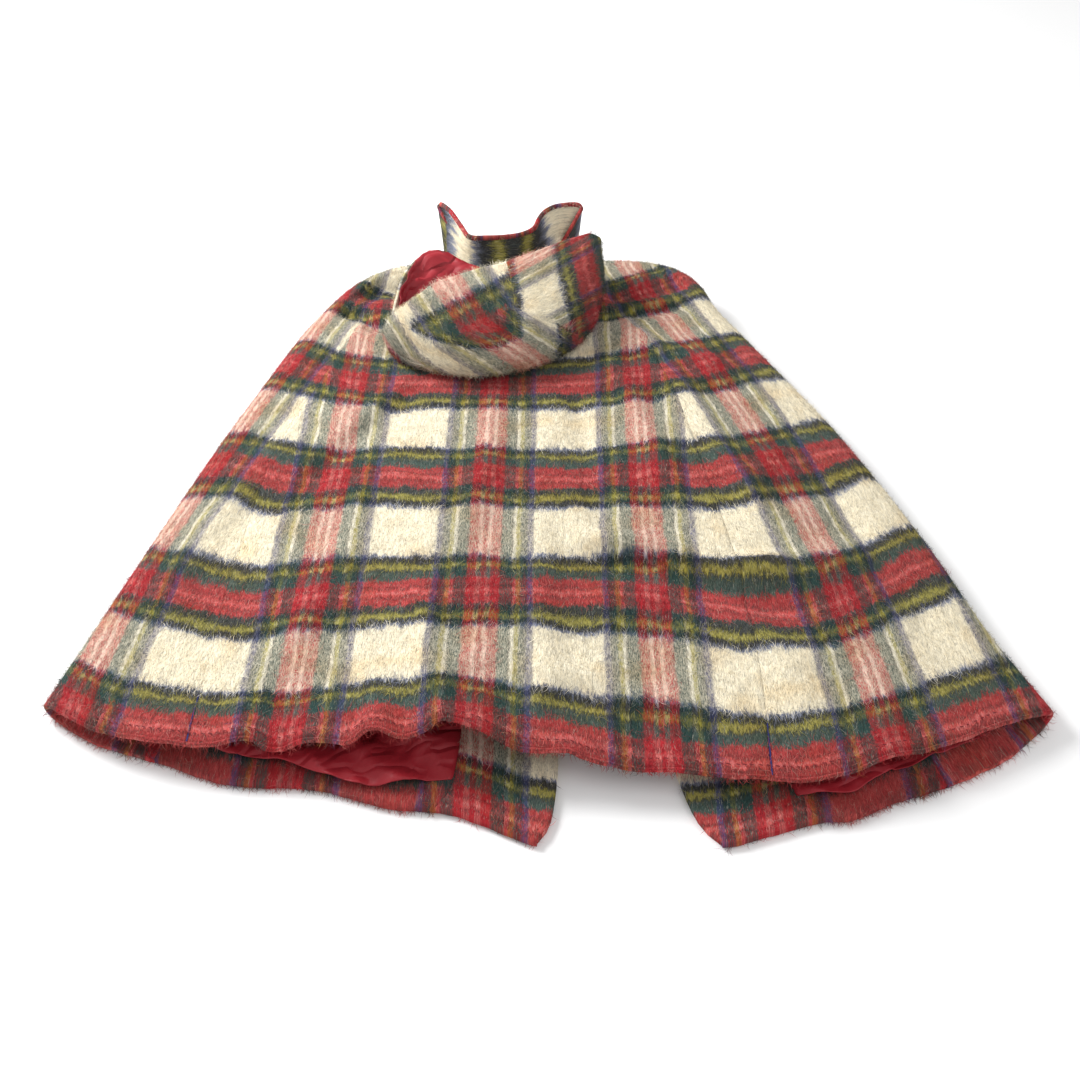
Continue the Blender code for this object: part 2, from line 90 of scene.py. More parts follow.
BACK_HEM = rows(
    Hem,
    (-0.461, -0.330, 0.022), (-0.384, -0.367, 0.027), (-0.310, -0.382, 0.031), (-0.245, -0.378, 0.035),
    (-0.155, -0.378, 0.047), (-0.090, -0.374, 0.051), (-0.038, -0.383, 0.045), (0.037, -0.397, 0.034),
    (0.100, -0.404, 0.030), (0.192, -0.409, 0.028), (0.263, -0.400, 0.032), (0.310, -0.385, 0.036),
    (0.378, -0.362, 0.030), (0.461, -0.328, 0.022),
)
Edge = namedtuple("Edge", "x y")
FRONT_HEM = rows(
    Edge,
    (-0.461, -0.330), (-0.406, -0.362), (-0.340, -0.383), (-0.282, -0.403), (-0.201, -0.408),
    (-0.140, -0.425), (-0.080, -0.432), (-0.028, -0.453), (-0.008, -0.460), (0.070, -0.462),
    (0.150, -0.460), (0.191, -0.449), (0.233, -0.436), (0.263, -0.433), (0.296, -0.418), (0.346, -0.401),
    (0.380, -0.386), (0.416, -0.366), (0.461, -0.328),
)
# How far the hem's small waves lie in front of its plain line, and so lower
Wave = namedtuple("Wave", "x reach")
HEM_WAVES = rows(
    Wave,
    (-0.455, 0.001), (-0.439, 0.002), (-0.410, 0.002), (-0.382, 0.000), (-0.353, -0.002), (-0.307, -0.001),
    (-0.289, -0.001), (-0.271, -0.003), (-0.257, -0.001), (-0.246, 0.007), (-0.232, 0.009), (-0.218, 0.004),
    (-0.201, 0.003), (-0.186, 0.005), (-0.171, 0.007), (-0.159, -0.002), (-0.146, -0.003), (-0.127, 0.006),
    (-0.109, 0.005), (-0.096, -0.002), (-0.080, -0.006), (-0.061, -0.006), (-0.048, -0.003),
    (-0.034, 0.001), (-0.023, 0.003), (-0.005, 0.000), (0.020, -0.005), (0.032, -0.002), (0.080, 0.000),
    (0.107, -0.002), (0.148, -0.002), (0.191, -0.001), (0.225, 0.003), (0.259, 0.004), (0.287, 0.000),
    (0.328, 0.002), (0.364, 0.000), (0.396, -0.004), (0.428, -0.006), (0.455, 0.000),
)
WAVE_REACH = 0.15
WAVE_POWER = 1.5
WAVE_TILT = Vector((0, -0.80, -0.58))
FRONT_NECK_Y = 0.300
CROWN_POWER = 4
EDGE_POWER = 8
HEM_FADE = 3
LIFT_REACH = 0.7
RIPPLE_START = 0.15
HALVINGS = 12
UNDER_SHARE = 0.22
Opening = namedtuple("Opening", "at left right")
FRONT_EDGES = rows(
    Opening,
    (0.00, -0.008, 0.148), (0.02, 0.001, 0.135), (0.05, 0.006, 0.125), (0.12, 0.010, 0.112),
    (0.30, 0.010, 0.086), (0.50, 0.000, 0.050), (0.70, -0.020, 0.012), (0.90, -0.048, -0.034),
    (1.00, -0.060, -0.049),
)
FACING_WIDTH = 0.088
FACING_MOST = 0.62
Reach = namedtuple("Reach", "x at")
LINING_EDGE = rows(
    Reach,
    (-0.450, 0.040), (-0.300, 0.035), (-0.245, 0.026), (-0.200, 0.012), (-0.165, 0.014), (-0.140, 0.026),
    (-0.100, 0.044), (-0.080, 0.050), (0.210, 0.050), (0.246, 0.031), (0.280, 0.025), (0.330, 0.034),
    (0.385, 0.036), (0.450, 0.040),
)
LINING_TOP = 0.97
LINING_ROW_POWER = 1.5
Ripple = namedtuple("Ripple", "hem_x top_x width height fade")
RIPPLES = rows(
    Ripple,
    (-0.345, -0.265, 0.026, -0.0030, 0.9),
    (-0.225, -0.180, 0.030, -0.0035, 0.8),
    (-0.120, -0.110, 0.040, 0.0040, 0.6),
    (0.010, -0.020, 0.028, 0.0022, 0.7),
    (0.120, 0.060, 0.030, -0.0030, 0.8),
    (0.250, 0.150, 0.030, 0.0035, 0.9),
    (0.345, 0.215, 0.022, -0.0030, 0.8),
)
Crease = namedtuple("Crease", "x1 y1 x2 y2 width depth")
CREASES = rows(
    Crease,
    (0.085, 0.300, 0.160, 0.318, 0.016, 0.012),
    (-0.232, 0.300, -0.165, 0.318, 0.016, 0.012),
)
# Soft ridges in the laid cloth, and troughs where the height is below 0
Buckle = namedtuple("Buckle", "x1 y1 x2 y2 width height")
BUCKLES = rows(
    Buckle,
    (0.060, -0.128, 0.225, -0.172, 0.016, 0.0055),
    (0.070, -0.158, 0.200, -0.205, 0.018, -0.0040),
    (0.205, -0.175, 0.330, -0.130, 0.020, 0.0035),
    (0.020, -0.300, 0.110, -0.330, 0.020, 0.0030),
    (-0.130, 0.160, -0.210, 0.060, 0.018, 0.0035),
    (-0.150, 0.130, -0.250, -0.030, 0.016, -0.0030),
    (-0.060, 0.080, -0.075, -0.090, 0.015, 0.0025),
    (0.030, 0.090, 0.050, -0.080, 0.016, -0.0030),
    (0.080, 0.150, 0.120, 0.000, 0.014, 0.0035),
    (0.150, 0.110, 0.215, -0.060, 0.018, 0.0040),
    (-0.300, 0.020, -0.365, -0.160, 0.020, 0.0030),
    (-0.200, -0.080, -0.235, -0.260, 0.018, 0.0030),
    (-0.010, -0.130, 0.000, -0.310, 0.018, 0.0025),
    (-0.120, -0.220, -0.095, -0.350, 0.014, 0.0035),
    (0.200, -0.240, 0.240, -0.360, 0.020, 0.0030),
    (0.300, -0.040, 0.360, -0.220, 0.018, -0.0030),
    (-0.250, 0.270, -0.190, 0.230, 0.012, -0.0045),
    (0.080, 0.270, 0.150, 0.285, 0.012, -0.0045),
    (0.090, 0.230, 0.190, 0.170, 0.014, 0.0035),
)
BUCKLE_DEPTH = 2.0
BUCKLE_SWAY = 0.006
BUCKLE_SWAY_LENGTH = 0.4
# The thick cloth's unevenness where it lies loosely: how far apart its lumps are, and how high
Lump = namedtuple("Lump", "size height seed")
LUMPS = rows(
    Lump,
    (0.065, 0.0022, 3.1),
    (0.026, 0.0020, 8.7),
    (0.012, 0.0006, 5.9),
)
HOOD_LUMPS = rows(
    Lump,
    (0.040, 0.0035, 6.1),
    (0.016, 0.0015, 9.4),
)
Fold = namedtuple("Fold", "at rim_x rim_y rim_z far_x far_y far_z crown_x crown_y")
HOOD = rows(
    Fold,
    (0.00, -0.190, 0.178, 0.084, -0.192, 0.190, 0.068, -0.198, 0.180),
    (0.12, -0.172, 0.200, 0.093, -0.190, 0.245, 0.073, -0.180, 0.148),
    (0.22, -0.148, 0.226, 0.100, -0.182, 0.305, 0.076, -0.146, 0.124),
    (0.33, -0.120, 0.244, 0.105, -0.150, 0.338, 0.084, -0.108, 0.112),
    (0.42, -0.097, 0.254, 0.108, -0.112, 0.330, 0.070, -0.080, 0.110),
    (0.55, -0.059, 0.268, 0.111, -0.055, 0.304, 0.064, -0.036, 0.121),
    (0.70, -0.010, 0.296, 0.114, -0.004, 0.318, 0.066, 0.012, 0.150),
    (0.85, 0.032, 0.322, 0.115, 0.040, 0.340, 0.074, 0.050, 0.205),
    (1.00, 0.062, 0.338, 0.110, 0.066, 0.344, 0.088, 0.068, 0.290),
)
# The hood's seam and its rolled lower edge as the camera sees them, in the picture's pixels, and the places
# that its stripes are measured from. A rate is metres of flat cloth for each pixel
Seen = namedtuple("Seen", "x y")
HOOD_SEAM = rows(
    Seen,
    (507, 255), (510, 278), (515, 299), (532, 314), (549, 318), (578, 335), (600, 345),
)
HOOD_ROLL = rows(
    Seen,
    (390, 336), (411, 354), (440, 366), (478, 373), (500, 371), (522, 362), (545, 355), (578, 335),
    (600, 315),
)
LEFT_RIM = Vector((403, 308))
LEFT_RIM_ALONG = Vector((0.898, -0.440))
LEFT_RIM_DOWN = Vector((0.440, 0.898))
RIGHT_RIM = Vector((505, 258))
RIGHT_RIM_DOWN = Vector((0.479, 0.878))
RIGHT_WARP_BELOW = 12
RIGHT_RED = Vector((578, 232))
RIGHT_RED_LEAN = 0.22
RIGHT_WARP_RATE = 0.0020
RIGHT_WEFT_RATE = 0.00165
RED_HALF = 0.0165
RIM_TO_RED = 43
RIM_RATE = 0.00115
ROLL_TO_RED = 36
ROLL_RATE = 0.0022
ROLL_SHARE = 0.9
CORNER_SHARE = 1.1
SEAM_RATE = 0.0020
PINK_ALONG = 52
PINK_LEAN = 0.12
PINK_BEND_BELOW = 49
PINK_BEND = 0.48
# The left half's warp, across its pink stripe: the cloth bunches towards its far corner
Bunch = namedtuple("Bunch", "away cut")
HOOD_BUNCH = rows(
    Bunch,
    (-120, -0.132), (-40, -0.044), (0, 0.000), (40, 0.042), (50, 0.058), (61, 0.112), (80, 0.146),
    (110, 0.175),
)
HOOD_RED_END = 506
HOOD_PUFF = 0.014
HOOD_HEIGHT = 0.034
HOOD_CLEAR = 0.0008
HOOD_END = 0.10
HOOD_CROWN = 0.16
HOOD_TIP = 0.05
HOOD_LINING_CREASE = 0.0090
HOOD_LINING_CREASE_SIZE = 0.030
LIE_DEPTH = 0.3
LIE_POWER = 0.8
# The collar's top edge. A place up to 1 is on the back, up to 2 round the side fold, and up to 3 on the front
Stand = namedtuple("Stand", "at x y z")
COLLAR = rows(
    Stand,
    (-3.00, -0.062, 0.352, 0.010), (-2.40, -0.094, 0.368, 0.028), (-2.00, -0.116, 0.392, 0.064),
    (-1.70, -0.140, 0.418, 0.088), (-1.50, -0.147, 0.431, 0.098), (-1.30, -0.132, 0.408, 0.101),
    (-1.15, -0.117, 0.376, 0.099), (-0.90, -0.105, 0.352, 0.097), (-0.45, -0.080, 0.350, 0.097),
    (0.00, -0.055, 0.353, 0.097), (0.45, -0.034, 0.359, 0.098), (0.80, -0.020, 0.371, 0.100),
    (1.00, -0.014, 0.393, 0.101), (1.15, -0.006, 0.411, 0.101), (1.30, 0.010, 0.426, 0.100),
    (1.50, 0.038, 0.432, 0.097), (1.70, 0.032, 0.418, 0.086), (2.00, 0.012, 0.392, 0.062),
    (2.40, -0.014, 0.368, 0.028), (3.00, -0.047, 0.352, 0.010),
)
COLLAR_GAP = 0.0008
COLLAR_UNDER_GAP = 0.0056
COLLAR_FOLD_RATE = 2
EDGING_THICK = 0.0027
EDGING_DEEP = 0.0036
EDGING_WEFT = 0.0068
EDGING_WEFT_SWAY = 0.006
EDGING_TURN = 0.78
EDGING_SINK = 0.35
EDGING_WARP_STEP = 0.0035
STITCHES = 120
STITCH_AT = 0.012
STITCH_START_X = -0.405
STITCHED_WIDTH = 0.81
STITCH_LENGTH = 0.0030
STITCH_DROP = 0.001
STITCH_SCATTER = 0.3
STITCH_SLANT = 0.0012
SEAM_SHOWS = 0.07
SEAM_STEPS = 14
Thread = namedtuple("Thread", "width lift")
HEM_THREAD = Thread(0.0011, 0.0014)
SEAM_THREAD = Thread(0.0013, 0.0006)
# The loose hairs: how far they turn from the comb and bend, in radians, and their shares of their nap's sizes
HAIR_SPREAD = 0.42
STRAY_SHARE = 0.22
HAIR_BEND = 0.55
HAIR_LENGTHS = (0.5, 1.5)
MIDDLE_RISES = (0.15, 1.0)
TIP_RISES = (-0.6, 0.5)
ROOT_SINK = 0.0004
HAIR_LOWEST = 0.0001
# The collar's stripes: its middle is laid on the weft's black and slate next to the red band, in place of the
# red, as painted shade; towards each side they run to cream
COLLAR_SHADE_AT = 0.15
COLLAR_SHADE_SHARE = 0.365
COLLAR_RATE = 0.18
COLLAR_TURN = 1.15
COLLAR_WARP = 0.06
COLLAR_DEEP = 0.05

# The plaid's repeat, and its stripes' places as shares of it. The weft's go up the back, from the middle of
# one cream band to the next. The warp's go from the middle of the red to that of the cream, and mirror there
REPEAT = 0.165
Stripe = namedtuple("Stripe", "place colour")
WEFT_STRIPES = rows(
    Stripe,
    (0.000, "cream"), (0.190, "cream"), (0.212, "blue_grey"), (0.235, "black"), (0.262, "black"),
    (0.272, "olive"), (0.290, "yellow"), (0.306, "yellow"), (0.324, "olive"), (0.340, "black"),
    (0.385, "slate"), (0.402, "red"), (0.440, "red"), (0.462, "dark_red"), (0.485, "bright_red"),
    (0.500, "pink"), (0.515, "bright_red"), (0.540, "dark_red"), (0.562, "red"), (0.594, "red"),
    (0.612, "green"), (0.660, "green"), (0.676, "slate"), (0.688, "olive"), (0.700, "yellow"),
    (0.716, "yellow"), (0.730, "olive"), (0.745, "black"), (0.768, "black"), (0.790, "blue_grey"),
    (0.812, "cream"), (1.000, "cream"),
)
WARP_STRIPES = rows(
    Stripe,
    (0.000, "red"), (0.012, "red"), (0.022, "pale_pink"), (0.034, "pale_pink"), (0.046, "red"),
    (0.092, "red"), (0.104, "green"), (0.160, "green"), (0.168, "black"), (0.176, "white"),
    (0.188, "white"), (0.194, "yellow"), (0.212, "yellow"), (0.222, "green"), (0.256, "slate"),
    (0.270, "blue"), (0.292, "blue"), (0.306, "cream"), (0.500, "cream"),
)
YARN = {
    "white": (0.62, 0.59, 0.48),
    "pale_pink": (0.66, 0.40, 0.34),
    "pink": (0.52, 0.11, 0.11),
    "bright_red": (0.47, 0.042, 0.042),
    "red": (0.35, 0.020, 0.026),
    "dark_red": (0.17, 0.010, 0.016),
    "green": (0.026, 0.056, 0.050),
    "slate": (0.022, 0.034, 0.036),
    "black": (0.010, 0.013, 0.018),
    "olive": (0.066, 0.064, 0.014),
    "yellow": (0.27, 0.24, 0.045),
    "blue_grey": (0.16, 0.18, 0.26),
    "blue": (0.058, 0.062, 0.14),
    "cream": (0.74, 0.67, 0.51),
}

# The grains of the cloths' noise: their sizes on the flat cloth, in metres, and where the noise starts
Grain = namedtuple("Grain", "across along start")
COMB = Grain(0.0010, 0.0052, 0.0)
TUFT = Grain(0.0032, 0.0110, 17.0)
FLECK = Grain(0.0008, 0.0030, 41.0)
CLOUD = Grain(0.045, 0.045, 5.0)
RIPPLE = Grain(0.016, 0.016, 29.0)
DRIFT = Grain(0.090, 0.040, 63.0)
PALE_HAIR = Grain(0.0007, 0.0060, 73.0)
DARK_HAIR = Grain(0.0009, 0.0070, 91.0)
LINING_WEAVE = Grain(0.0006, 0.0025, 0.0)
LINING_CLOUD = Grain(0.03, 0.03, 3.0)
LINING_CREASE = Grain(0.060, 0.024, 7.0)
# Tan that random clouds multiply into the plaid's colour: partly stains, partly painted soft shade on the
# cream
TAN_STAIN_AND_SHADE = (0.88, 0.76, 0.58, 1)
LINING_DARK = (0.27, 0.010, 0.018, 1)
LINING_LIGHT = (0.38, 0.018, 0.028, 1)

# Where the middles of the red weft bands lie on the top, by x: at the hem, then one repeat further up each
SHOULDER_DROP = 0.105
Weft = namedtuple("Weft", "x hem lower middle upper neck")
WEFTS = rows(
    Weft,
    (-0.46, -0.306, -0.140, 0.045, 0.235, 0.420), (-0.40, -0.338, -0.178, 0.006, 0.208, 0.390),
    (-0.34, -0.352, -0.199, -0.008, 0.192, 0.362), (-0.29, -0.357, -0.215, -0.032, 0.166, 0.332),
    (-0.24, -0.354, -0.209, -0.032, 0.138, 0.303), (-0.18, -0.354, -0.204, -0.031, 0.124, 0.290),
    (-0.12, -0.352, -0.209, -0.038, 0.125, 0.288), (-0.06, -0.355, -0.201, -0.035, 0.121, 0.288),
    (0.00, -0.365, -0.201, -0.037, 0.127, 0.294), (0.06, -0.375, -0.194, -0.027, 0.130, 0.304),
    (0.12, -0.381, -0.197, -0.025, 0.147, 0.330), (0.18, -0.385, -0.213, -0.024, 0.164, 0.350),
    (0.24, -0.379, -0.220, -0.006, 0.196, 0.370), (0.30, -0.365, -0.193, 0.018, 0.225, 0.392),
    (0.36, -0.344, -0.153, 0.050, 0.255, 0.412), (0.42, -0.321, -0.117, 0.085, 0.285, 0.432),
    (0.46, -0.304, -0.095, 0.110, 0.305, 0.445),
)

# Where the middle of the first red warp stripe lies on each side panel, by y, and on the back
Warp = namedtuple("Warp", "y left right")
WARPS = rows(
    Warp,
    (-0.400, -0.432, 0.303), (-0.317, -0.427, 0.298), (-0.257, -0.421, 0.292), (-0.131, -0.403, 0.274),
    (-0.065, -0.384, 0.260), (0.000, -0.367, 0.243), (0.095, -0.341, 0.213), (0.180, -0.312, 0.182),
    (0.260, -0.285, 0.146), (0.400, -0.240, 0.090),
)
BACK_WARP_X = -0.0635
FRONT_WARP_X = {"left": -0.064, "right": 0.195}
HEM_WEFT = 0.012
# The rolled hem's rim turns to the weft's bright red: a painted highlight where the rim's nap catches the
# light
RIM_HIGHLIGHT_WEFT = -0.003
ROLL_REACH = 0.45
ROLL_ROWS = 6
ROLL_SWELL = 0.5
ROLL_SWELL_LENGTH = 0.014
HEM_ROWS = 9
HEM_STRIP_SHARE = 0.05
TURN_RISE = 2 * CLOTH + GAP
LINING_WALL = LINING * 0.6
# The side panel's shares of its width: over the top, over the top and round the fold, and where the relief
# fades towards the fold
SIDE_OVER = 0.5
SIDE_TURNED = 0.8
FOLD_BLEND = 0.15
CUT_MOST_X = 0.46
# The lining's waves and folds, and how they fade towards its two edges and its top
LINING_SIDE_FADE = 0.08
LINING_FACING_FADE = 0.06
LINING_WAVE = 0.0030
LINING_WAVE_LENGTH = 0.055
LINING_SWAY = 3
LINING_SWAY_SIZE = 0.06
LINING_FOLD = 0.0130
LINING_FOLD_SIZE = 0.055
LINING_REST = 0.0003
LINING_FLATTEN = 0.4
# Each piece's grid: its steps across and its steps up the cloth
BACK_STEPS = (96, 130)
SIDE_STEPS = (104, 130)
FRONT_STEPS = (30, 60)
FACING_STEPS = (22, 70)
HEM_STRIP_STEPS = (60, 20)
LINING_STEPS = (84, 64)
HOOD_STEPS = (96, 66)
HOOD_LINING_STEPS = (90, 40)
COLLAR_STEPS = (150, 16)
EDGING_ROWS = 10
# The strips inside the hems start on the weft's dark red and run through the weft at under half speed, so
# they stay mostly red and dark: painted shade where the turned hems lie in shadow
SHADED_INSIDE_WEFT = -0.0063
SHADED_INSIDE_RATE = 0.45

# What shows of each piece's cut: its longest row across, its longest line up the cloth, and its area. A
# measuring function in an earlier version of this script printed them, before the last changes of its shapes
Cut = namedtuple("Cut", "piece width length area rests_on")


class Value:
    """A shader socket that takes part in Python sums."""

    def __init__(self, graph, socket):
        self.graph = graph
        self.socket = socket

    def made(self, operation, *others):
        return self.graph.node("ShaderNodeMath", {"operation": operation}, dict(enumerate((self, *others))))

    def __add__(self, other):
        return self.made("ADD", other)

    def __sub__(self, other):
        return self.made("SUBTRACT", other)

    def __rsub__(self, other):
        return self.graph.node("ShaderNodeMath", {"operation": "SUBTRACT"}, {0: other, 1: self})

    def __mul__(self, other):
        return self.made("MULTIPLY", other)

    def __truediv__(self, other):
        return self.made("DIVIDE", other)

    __radd__ = __add__
    __rmul__ = __mul__

    def between(self, low, high):
        """0 below low, 1 above high, and a straight run between."""
        sockets = {"Value": self, "From Min": low, "From Max": high}
        return self.graph.node("ShaderNodeMapRange", {"clamp": True}, sockets)

    def folded(self, size):
        """Goes up to size and back, so that a repeat mirrors."""
        return self.made("PINGPONG", size)

    def wrapped(self, size):
        """Goes up to size and starts again from 0."""
        return self.made("WRAP", size, 0.0)


class Graph:
    """A material's nodes."""

    def __init__(self, name):
        self.material = bpy.data.materials.new(name)
        self.material.use_nodes = True
        self.tree = self.material.node_tree
        self.shader = self.tree.nodes["Principled BSDF"]

    def node(self, kind, settings=None, sockets=None, output=0):
        made = self.tree.nodes.new(kind)
        for key, setting in (settings or {}).items():
            if key == "stops":
                self.set_stops(made.color_ramp, setting)
            else:
                setattr(made, key, setting)
        for key, value in (sockets or {}).items():
            self.put(made.inputs[key], value)
        return Value(self, made.outputs[output])

    def set_stops(self, ramp, stops):
        while len(ramp.elements) > 1:
            ramp.elements.remove(ramp.elements[-1])
        ramp.elements[0].position = stops[0][0]
        ramp.elements[0].color = (*stops[0][1], 1)
        for place, colour in stops[1:]:
            ramp.elements.new(place).color = (*colour, 1)

    def put(self, socket, value):
        if isinstance(value, Value):
            self.tree.links.new(value.socket, socket)
        else:
            socket.default_value = value

    def finish(self, **sockets):
        for key, value in sockets.items():
            self.put(self.shader.inputs[key.replace("_", " ")], value)
        return self.material

    def mixed(self, factor, first, second, blend="MIX"):
        settings = {"data_type": "RGBA", "blend_type": blend}
        return self.node("ShaderNodeMix", settings, {0: factor, 6: first, 7: second}, 2)

    def grain(self, u, v, grain, detail=2.0):
        """Noise on the flat cloth."""
        across, along = u * (1 / grain.across) + grain.start, v * (1 / grain.along)
        sockets = {"Vector": self.node("ShaderNodeCombineXYZ", None, {0: across, 1: along})}
        sockets.update({"Scale": 1.0, "Detail": detail})
        return self.node("ShaderNodeTexNoise", {"noise_dimensions": "2D"}, sockets)

    def cut_place(self):
        """Where a point lies on the flat cloth: across, and along."""
        split = self.node("ShaderNodeSeparateXYZ", None, {0: self.node("ShaderNodeUVMap", {"uv_map": "cut"})})
        return split, Value(self, split.socket.node.outputs[1])

    def bumped(self, height, strength, distance):
        sockets = {"Strength": strength, "Distance": distance, "Height": height}
        return self.node("ShaderNodeBump", None, sockets)

    def brightness(self, colour):
        return self.node("ShaderNodeRGBToBW", None, {0: colour})

    def striped(self, stripes, share, span):
        """The stripes' colours at a share of their span."""
        stops = [(stripe.place / span, YARN[stripe.colour]) for stripe in stripes]
        return self.node("ShaderNodeValToRGB", {"stops": stops}, {0: share})


def plaid_cloth(name, lightness):
    """Brushed mohair plaid: weft and warp stripes that show through each other, combed along the warp."""
    g = Graph(name)
    u, v = g.cut_place()
    comb = g.grain(u, v, COMB)
    tuft = g.grain(u, v, TUFT)
    fleck = g.grain(u, v, FLECK)
    cloud = g.grain(u, v, CLOUD)
    ripple = g.grain(u, v, RIPPLE) - 0.5
    drift = g.grain(u, v, DRIFT) - 0.5
    moved_v = v + (comb - 0.5) * 0.0070 + (tuft - 0.5) * 0.0075 + ripple * 0.008 + drift * 0.010
    moved_u = u + (fleck - 0.5) * 0.003 + ripple * 0.003 + drift * 0.004
    weft = g.striped(WEFT_STRIPES, (moved_v + REPEAT / 2).wrapped(REPEAT) / REPEAT, 1.0)
    warp = g.striped(WARP_STRIPES, moved_u.folded(REPEAT / 2) / (REPEAT / 2), 0.5)
    paler = g.brightness(warp) - g.brightness(weft)
    show = (comb * 0.45 + fleck * 0.55).between(0.40, 0.60) * 0.56 + 0.34
    hidden = paler.between(0.0, 0.12) * 0.55 + paler.between(0.12, 0.45) * 0.38
    woven = g.mixed(show * (1 - hidden), weft, warp)
    # A lightness above 1 paints the whole material lighter, as painted light
    light = (tuft.between(0.25, 0.75) * 0.30 + fleck.between(0.3, 0.7) * 0.36 + 0.68) * lightness
    shade = g.node("ShaderNodeCombineColor", None, {0: light, 1: light, 2: light})
    toned = g.mixed(1.0, woven, shade, "MULTIPLY")
    pale_hair = g.grain(u, v, PALE_HAIR).between(0.64, 0.74) * 0.32
    dark_hair = g.grain(u, v, DARK_HAIR).between(0.60, 0.70) * 0.42
    haired = g.mixed(pale_hair, toned, (*YARN["white"], 1))
    worn = g.mixed(dark_hair, haired, (*YARN["slate"], 1))
    # Painted shade, partly stain: random clouds darken the colour towards tan
    tan = g.mixed(cloud.between(0.50, 0.75) * 0.6, (1, 1, 1, 1), TAN_STAIN_AND_SHADE)
    colour = g.mixed(1.0, worn, tan, "MULTIPLY")
    bump = g.bumped(comb * 0.5 + tuft * 0.9 + fleck * 0.4, 0.6, 0.0022)
    g.shader.inputs["Sheen Weight"].default_value = 0.04
    g.shader.inputs["Sheen Roughness"].default_value = 0.6
    g.shader.inputs["Specular IOR Level"].default_value = 0.08
    return g.finish(Base_Color=colour, Roughness=0.95, Normal=bump)


def lining_cloth(name):
    """Plain twill lining, deep red, with a soft sheen and sharp small creases."""
    g = Graph(name)
    u, v = g.cut_place()
    weave = g.grain(u + v, v - u, LINING_WEAVE)
    cloud = g.grain(u, v, LINING_CLOUD)
    colour = g.mixed(cloud * 0.5 + weave * 0.4, LINING_DARK, LINING_LIGHT)
    crease = (g.grain(u + v * 0.6, v - u * 0.5, LINING_CREASE, 1.0) - 0.5).folded(1.0).between(0.0, 0.14)
    bump = g.bumped(weave * 0.03 + cloud * 0.10 + crease, 0.5, 0.004)
    g.shader.inputs["Specular IOR Level"].default_value = 0.35
    return g.finish(Base_Color=colour, Roughness=weave * 0.12 + 0.46, Normal=bump)


def floor_paper():
    g = Graph("pale_floor")
    return g.finish(Base_Color=(0.9, 0.9, 0.9, 1), Roughness=0.9)


@lru_cache(maxsize=None)
def columns(table, key, column):
    return [getattr(row, key) for row in table], [getattr(row, column) for row in table]


def read(table, key, column, place):
    """A table's column at a place between its rows, on a curve without corners."""
    keys, values = columns(table, key, column)
    last = len(keys) - 1
    place = min(max(place, keys[0]), keys[last])
    i = next((n for n in range(last) if place <= keys[n + 1]), last - 1)

    def slope(n):
        before, after = max(n - 1, 0), min(n + 1, last)
        return (values[after] - values[before]) / (keys[after] - keys[before])

    span = keys[i + 1] - keys[i]
    s = (place - keys[i]) / span
    rise = values[i + 1] - values[i]
    left, right = slope(i) * span, slope(i + 1) * span
    return (
        values[i]
        + left * s
        + (3 * rise - 2 * left - right) * s * s
        + (left + right - 2 * rise) * s**3
    )


@lru_cache(maxsize=20000)
def row_at(f):
    return Row(f, *(read(ROWS, "at", column, f) for column in Row._fields[1:]))


def middle(row):
    return (row.left_x + row.right_x) / 2


def half_width(row):
    return (row.right_x - row.left_x) / 2


def across(row, x):
    return min(max((x - middle(row)) / half_width(row), -1), 1)


def fold_y(row, t):
    return row.left_y if t < 0 else row.right_y


def upper_y(row, x):
    t = across(row, x)
    plain = row.mid_y + (fold_y(row, t) - row.mid_y) * abs(t) ** row.power
    hem = ROWS[0]
    hem_x = middle(hem) + half_width(hem) * t
    at_hem = hem.mid_y + (fold_y(hem, t) - hem.mid_y) * abs(t) ** hem.power
    return plain + (read(BACK_HEM, "x", "y", hem_x) - at_hem) * (1 - row.at) ** HEM_FADE


def under_y(row, x):
    t = across(row, x)
    hem, neck = ROWS[0], ROWS[-1]
    first, last = fold_y(hem, t), fold_y(neck, t)
    share = (fold_y(row, t) - first) / (last - first)
    hem_y = read(FRONT_HEM, "x", "y", middle(hem) + half_width(hem) * t)
    neck_y = FRONT_NECK_Y + (last - FRONT_NECK_Y) * t * t
    return hem_y + (neck_y - hem_y) * share


def crease_depth(x, y):
    depth = 0.0
    for crease in CREASES:
        run = Vector((crease.x2 - crease.x1, crease.y2 - crease.y1))
        away = Vector((x - crease.x1, y - crease.y1))
        along = min(max(away.dot(run) / run.length_squared, 0), 1)
        off = (away - run * along).length / crease.width
        depth += crease.depth * math.exp(-off * off)
    return depth


def ripple_height(row, x):
    height = 0.0
    for ripple in RIPPLES:
        centre = ripple.hem_x + (ripple.top_x - ripple.hem_x) * row.at
        off = (x - centre) / ripple.width
        height += ripple.height * max(1 - row.at / ripple.fade, 0) * math.exp(-off * off)
    return height


def upper_z(row, x):
    t = across(row, x)
    edge = 2 * row.fold
    plain = edge + (row.mid_z - edge) * (1 - abs(t) ** CROWN_POWER)
    hem = ROWS[0]
    at_hem = read(BACK_HEM, "x", "z", middle(hem) + half_width(hem) * t)
    hem_plain = 2 * hem.fold + (hem.mid_z - 2 * hem.fold) * (1 - abs(t) ** CROWN_POWER)
    inside = 1 - abs(t) ** EDGE_POWER
    lifted = (at_hem - hem_plain) * max(1 - row.at / LIFT_REACH, 0) ** 2
    rippled = ripple_height(row, x) * min(row.at / RIPPLE_START, 1)
    return plain + (lifted + rippled - crease_depth(x, upper_y(row, x))) * inside


def upper_point(row, x):
    return Vector((x, upper_y(row, x), upper_z(row, x)))


def under_point(row, x, lift=0.0):
    return Vector((x, under_y(row, x), lift))


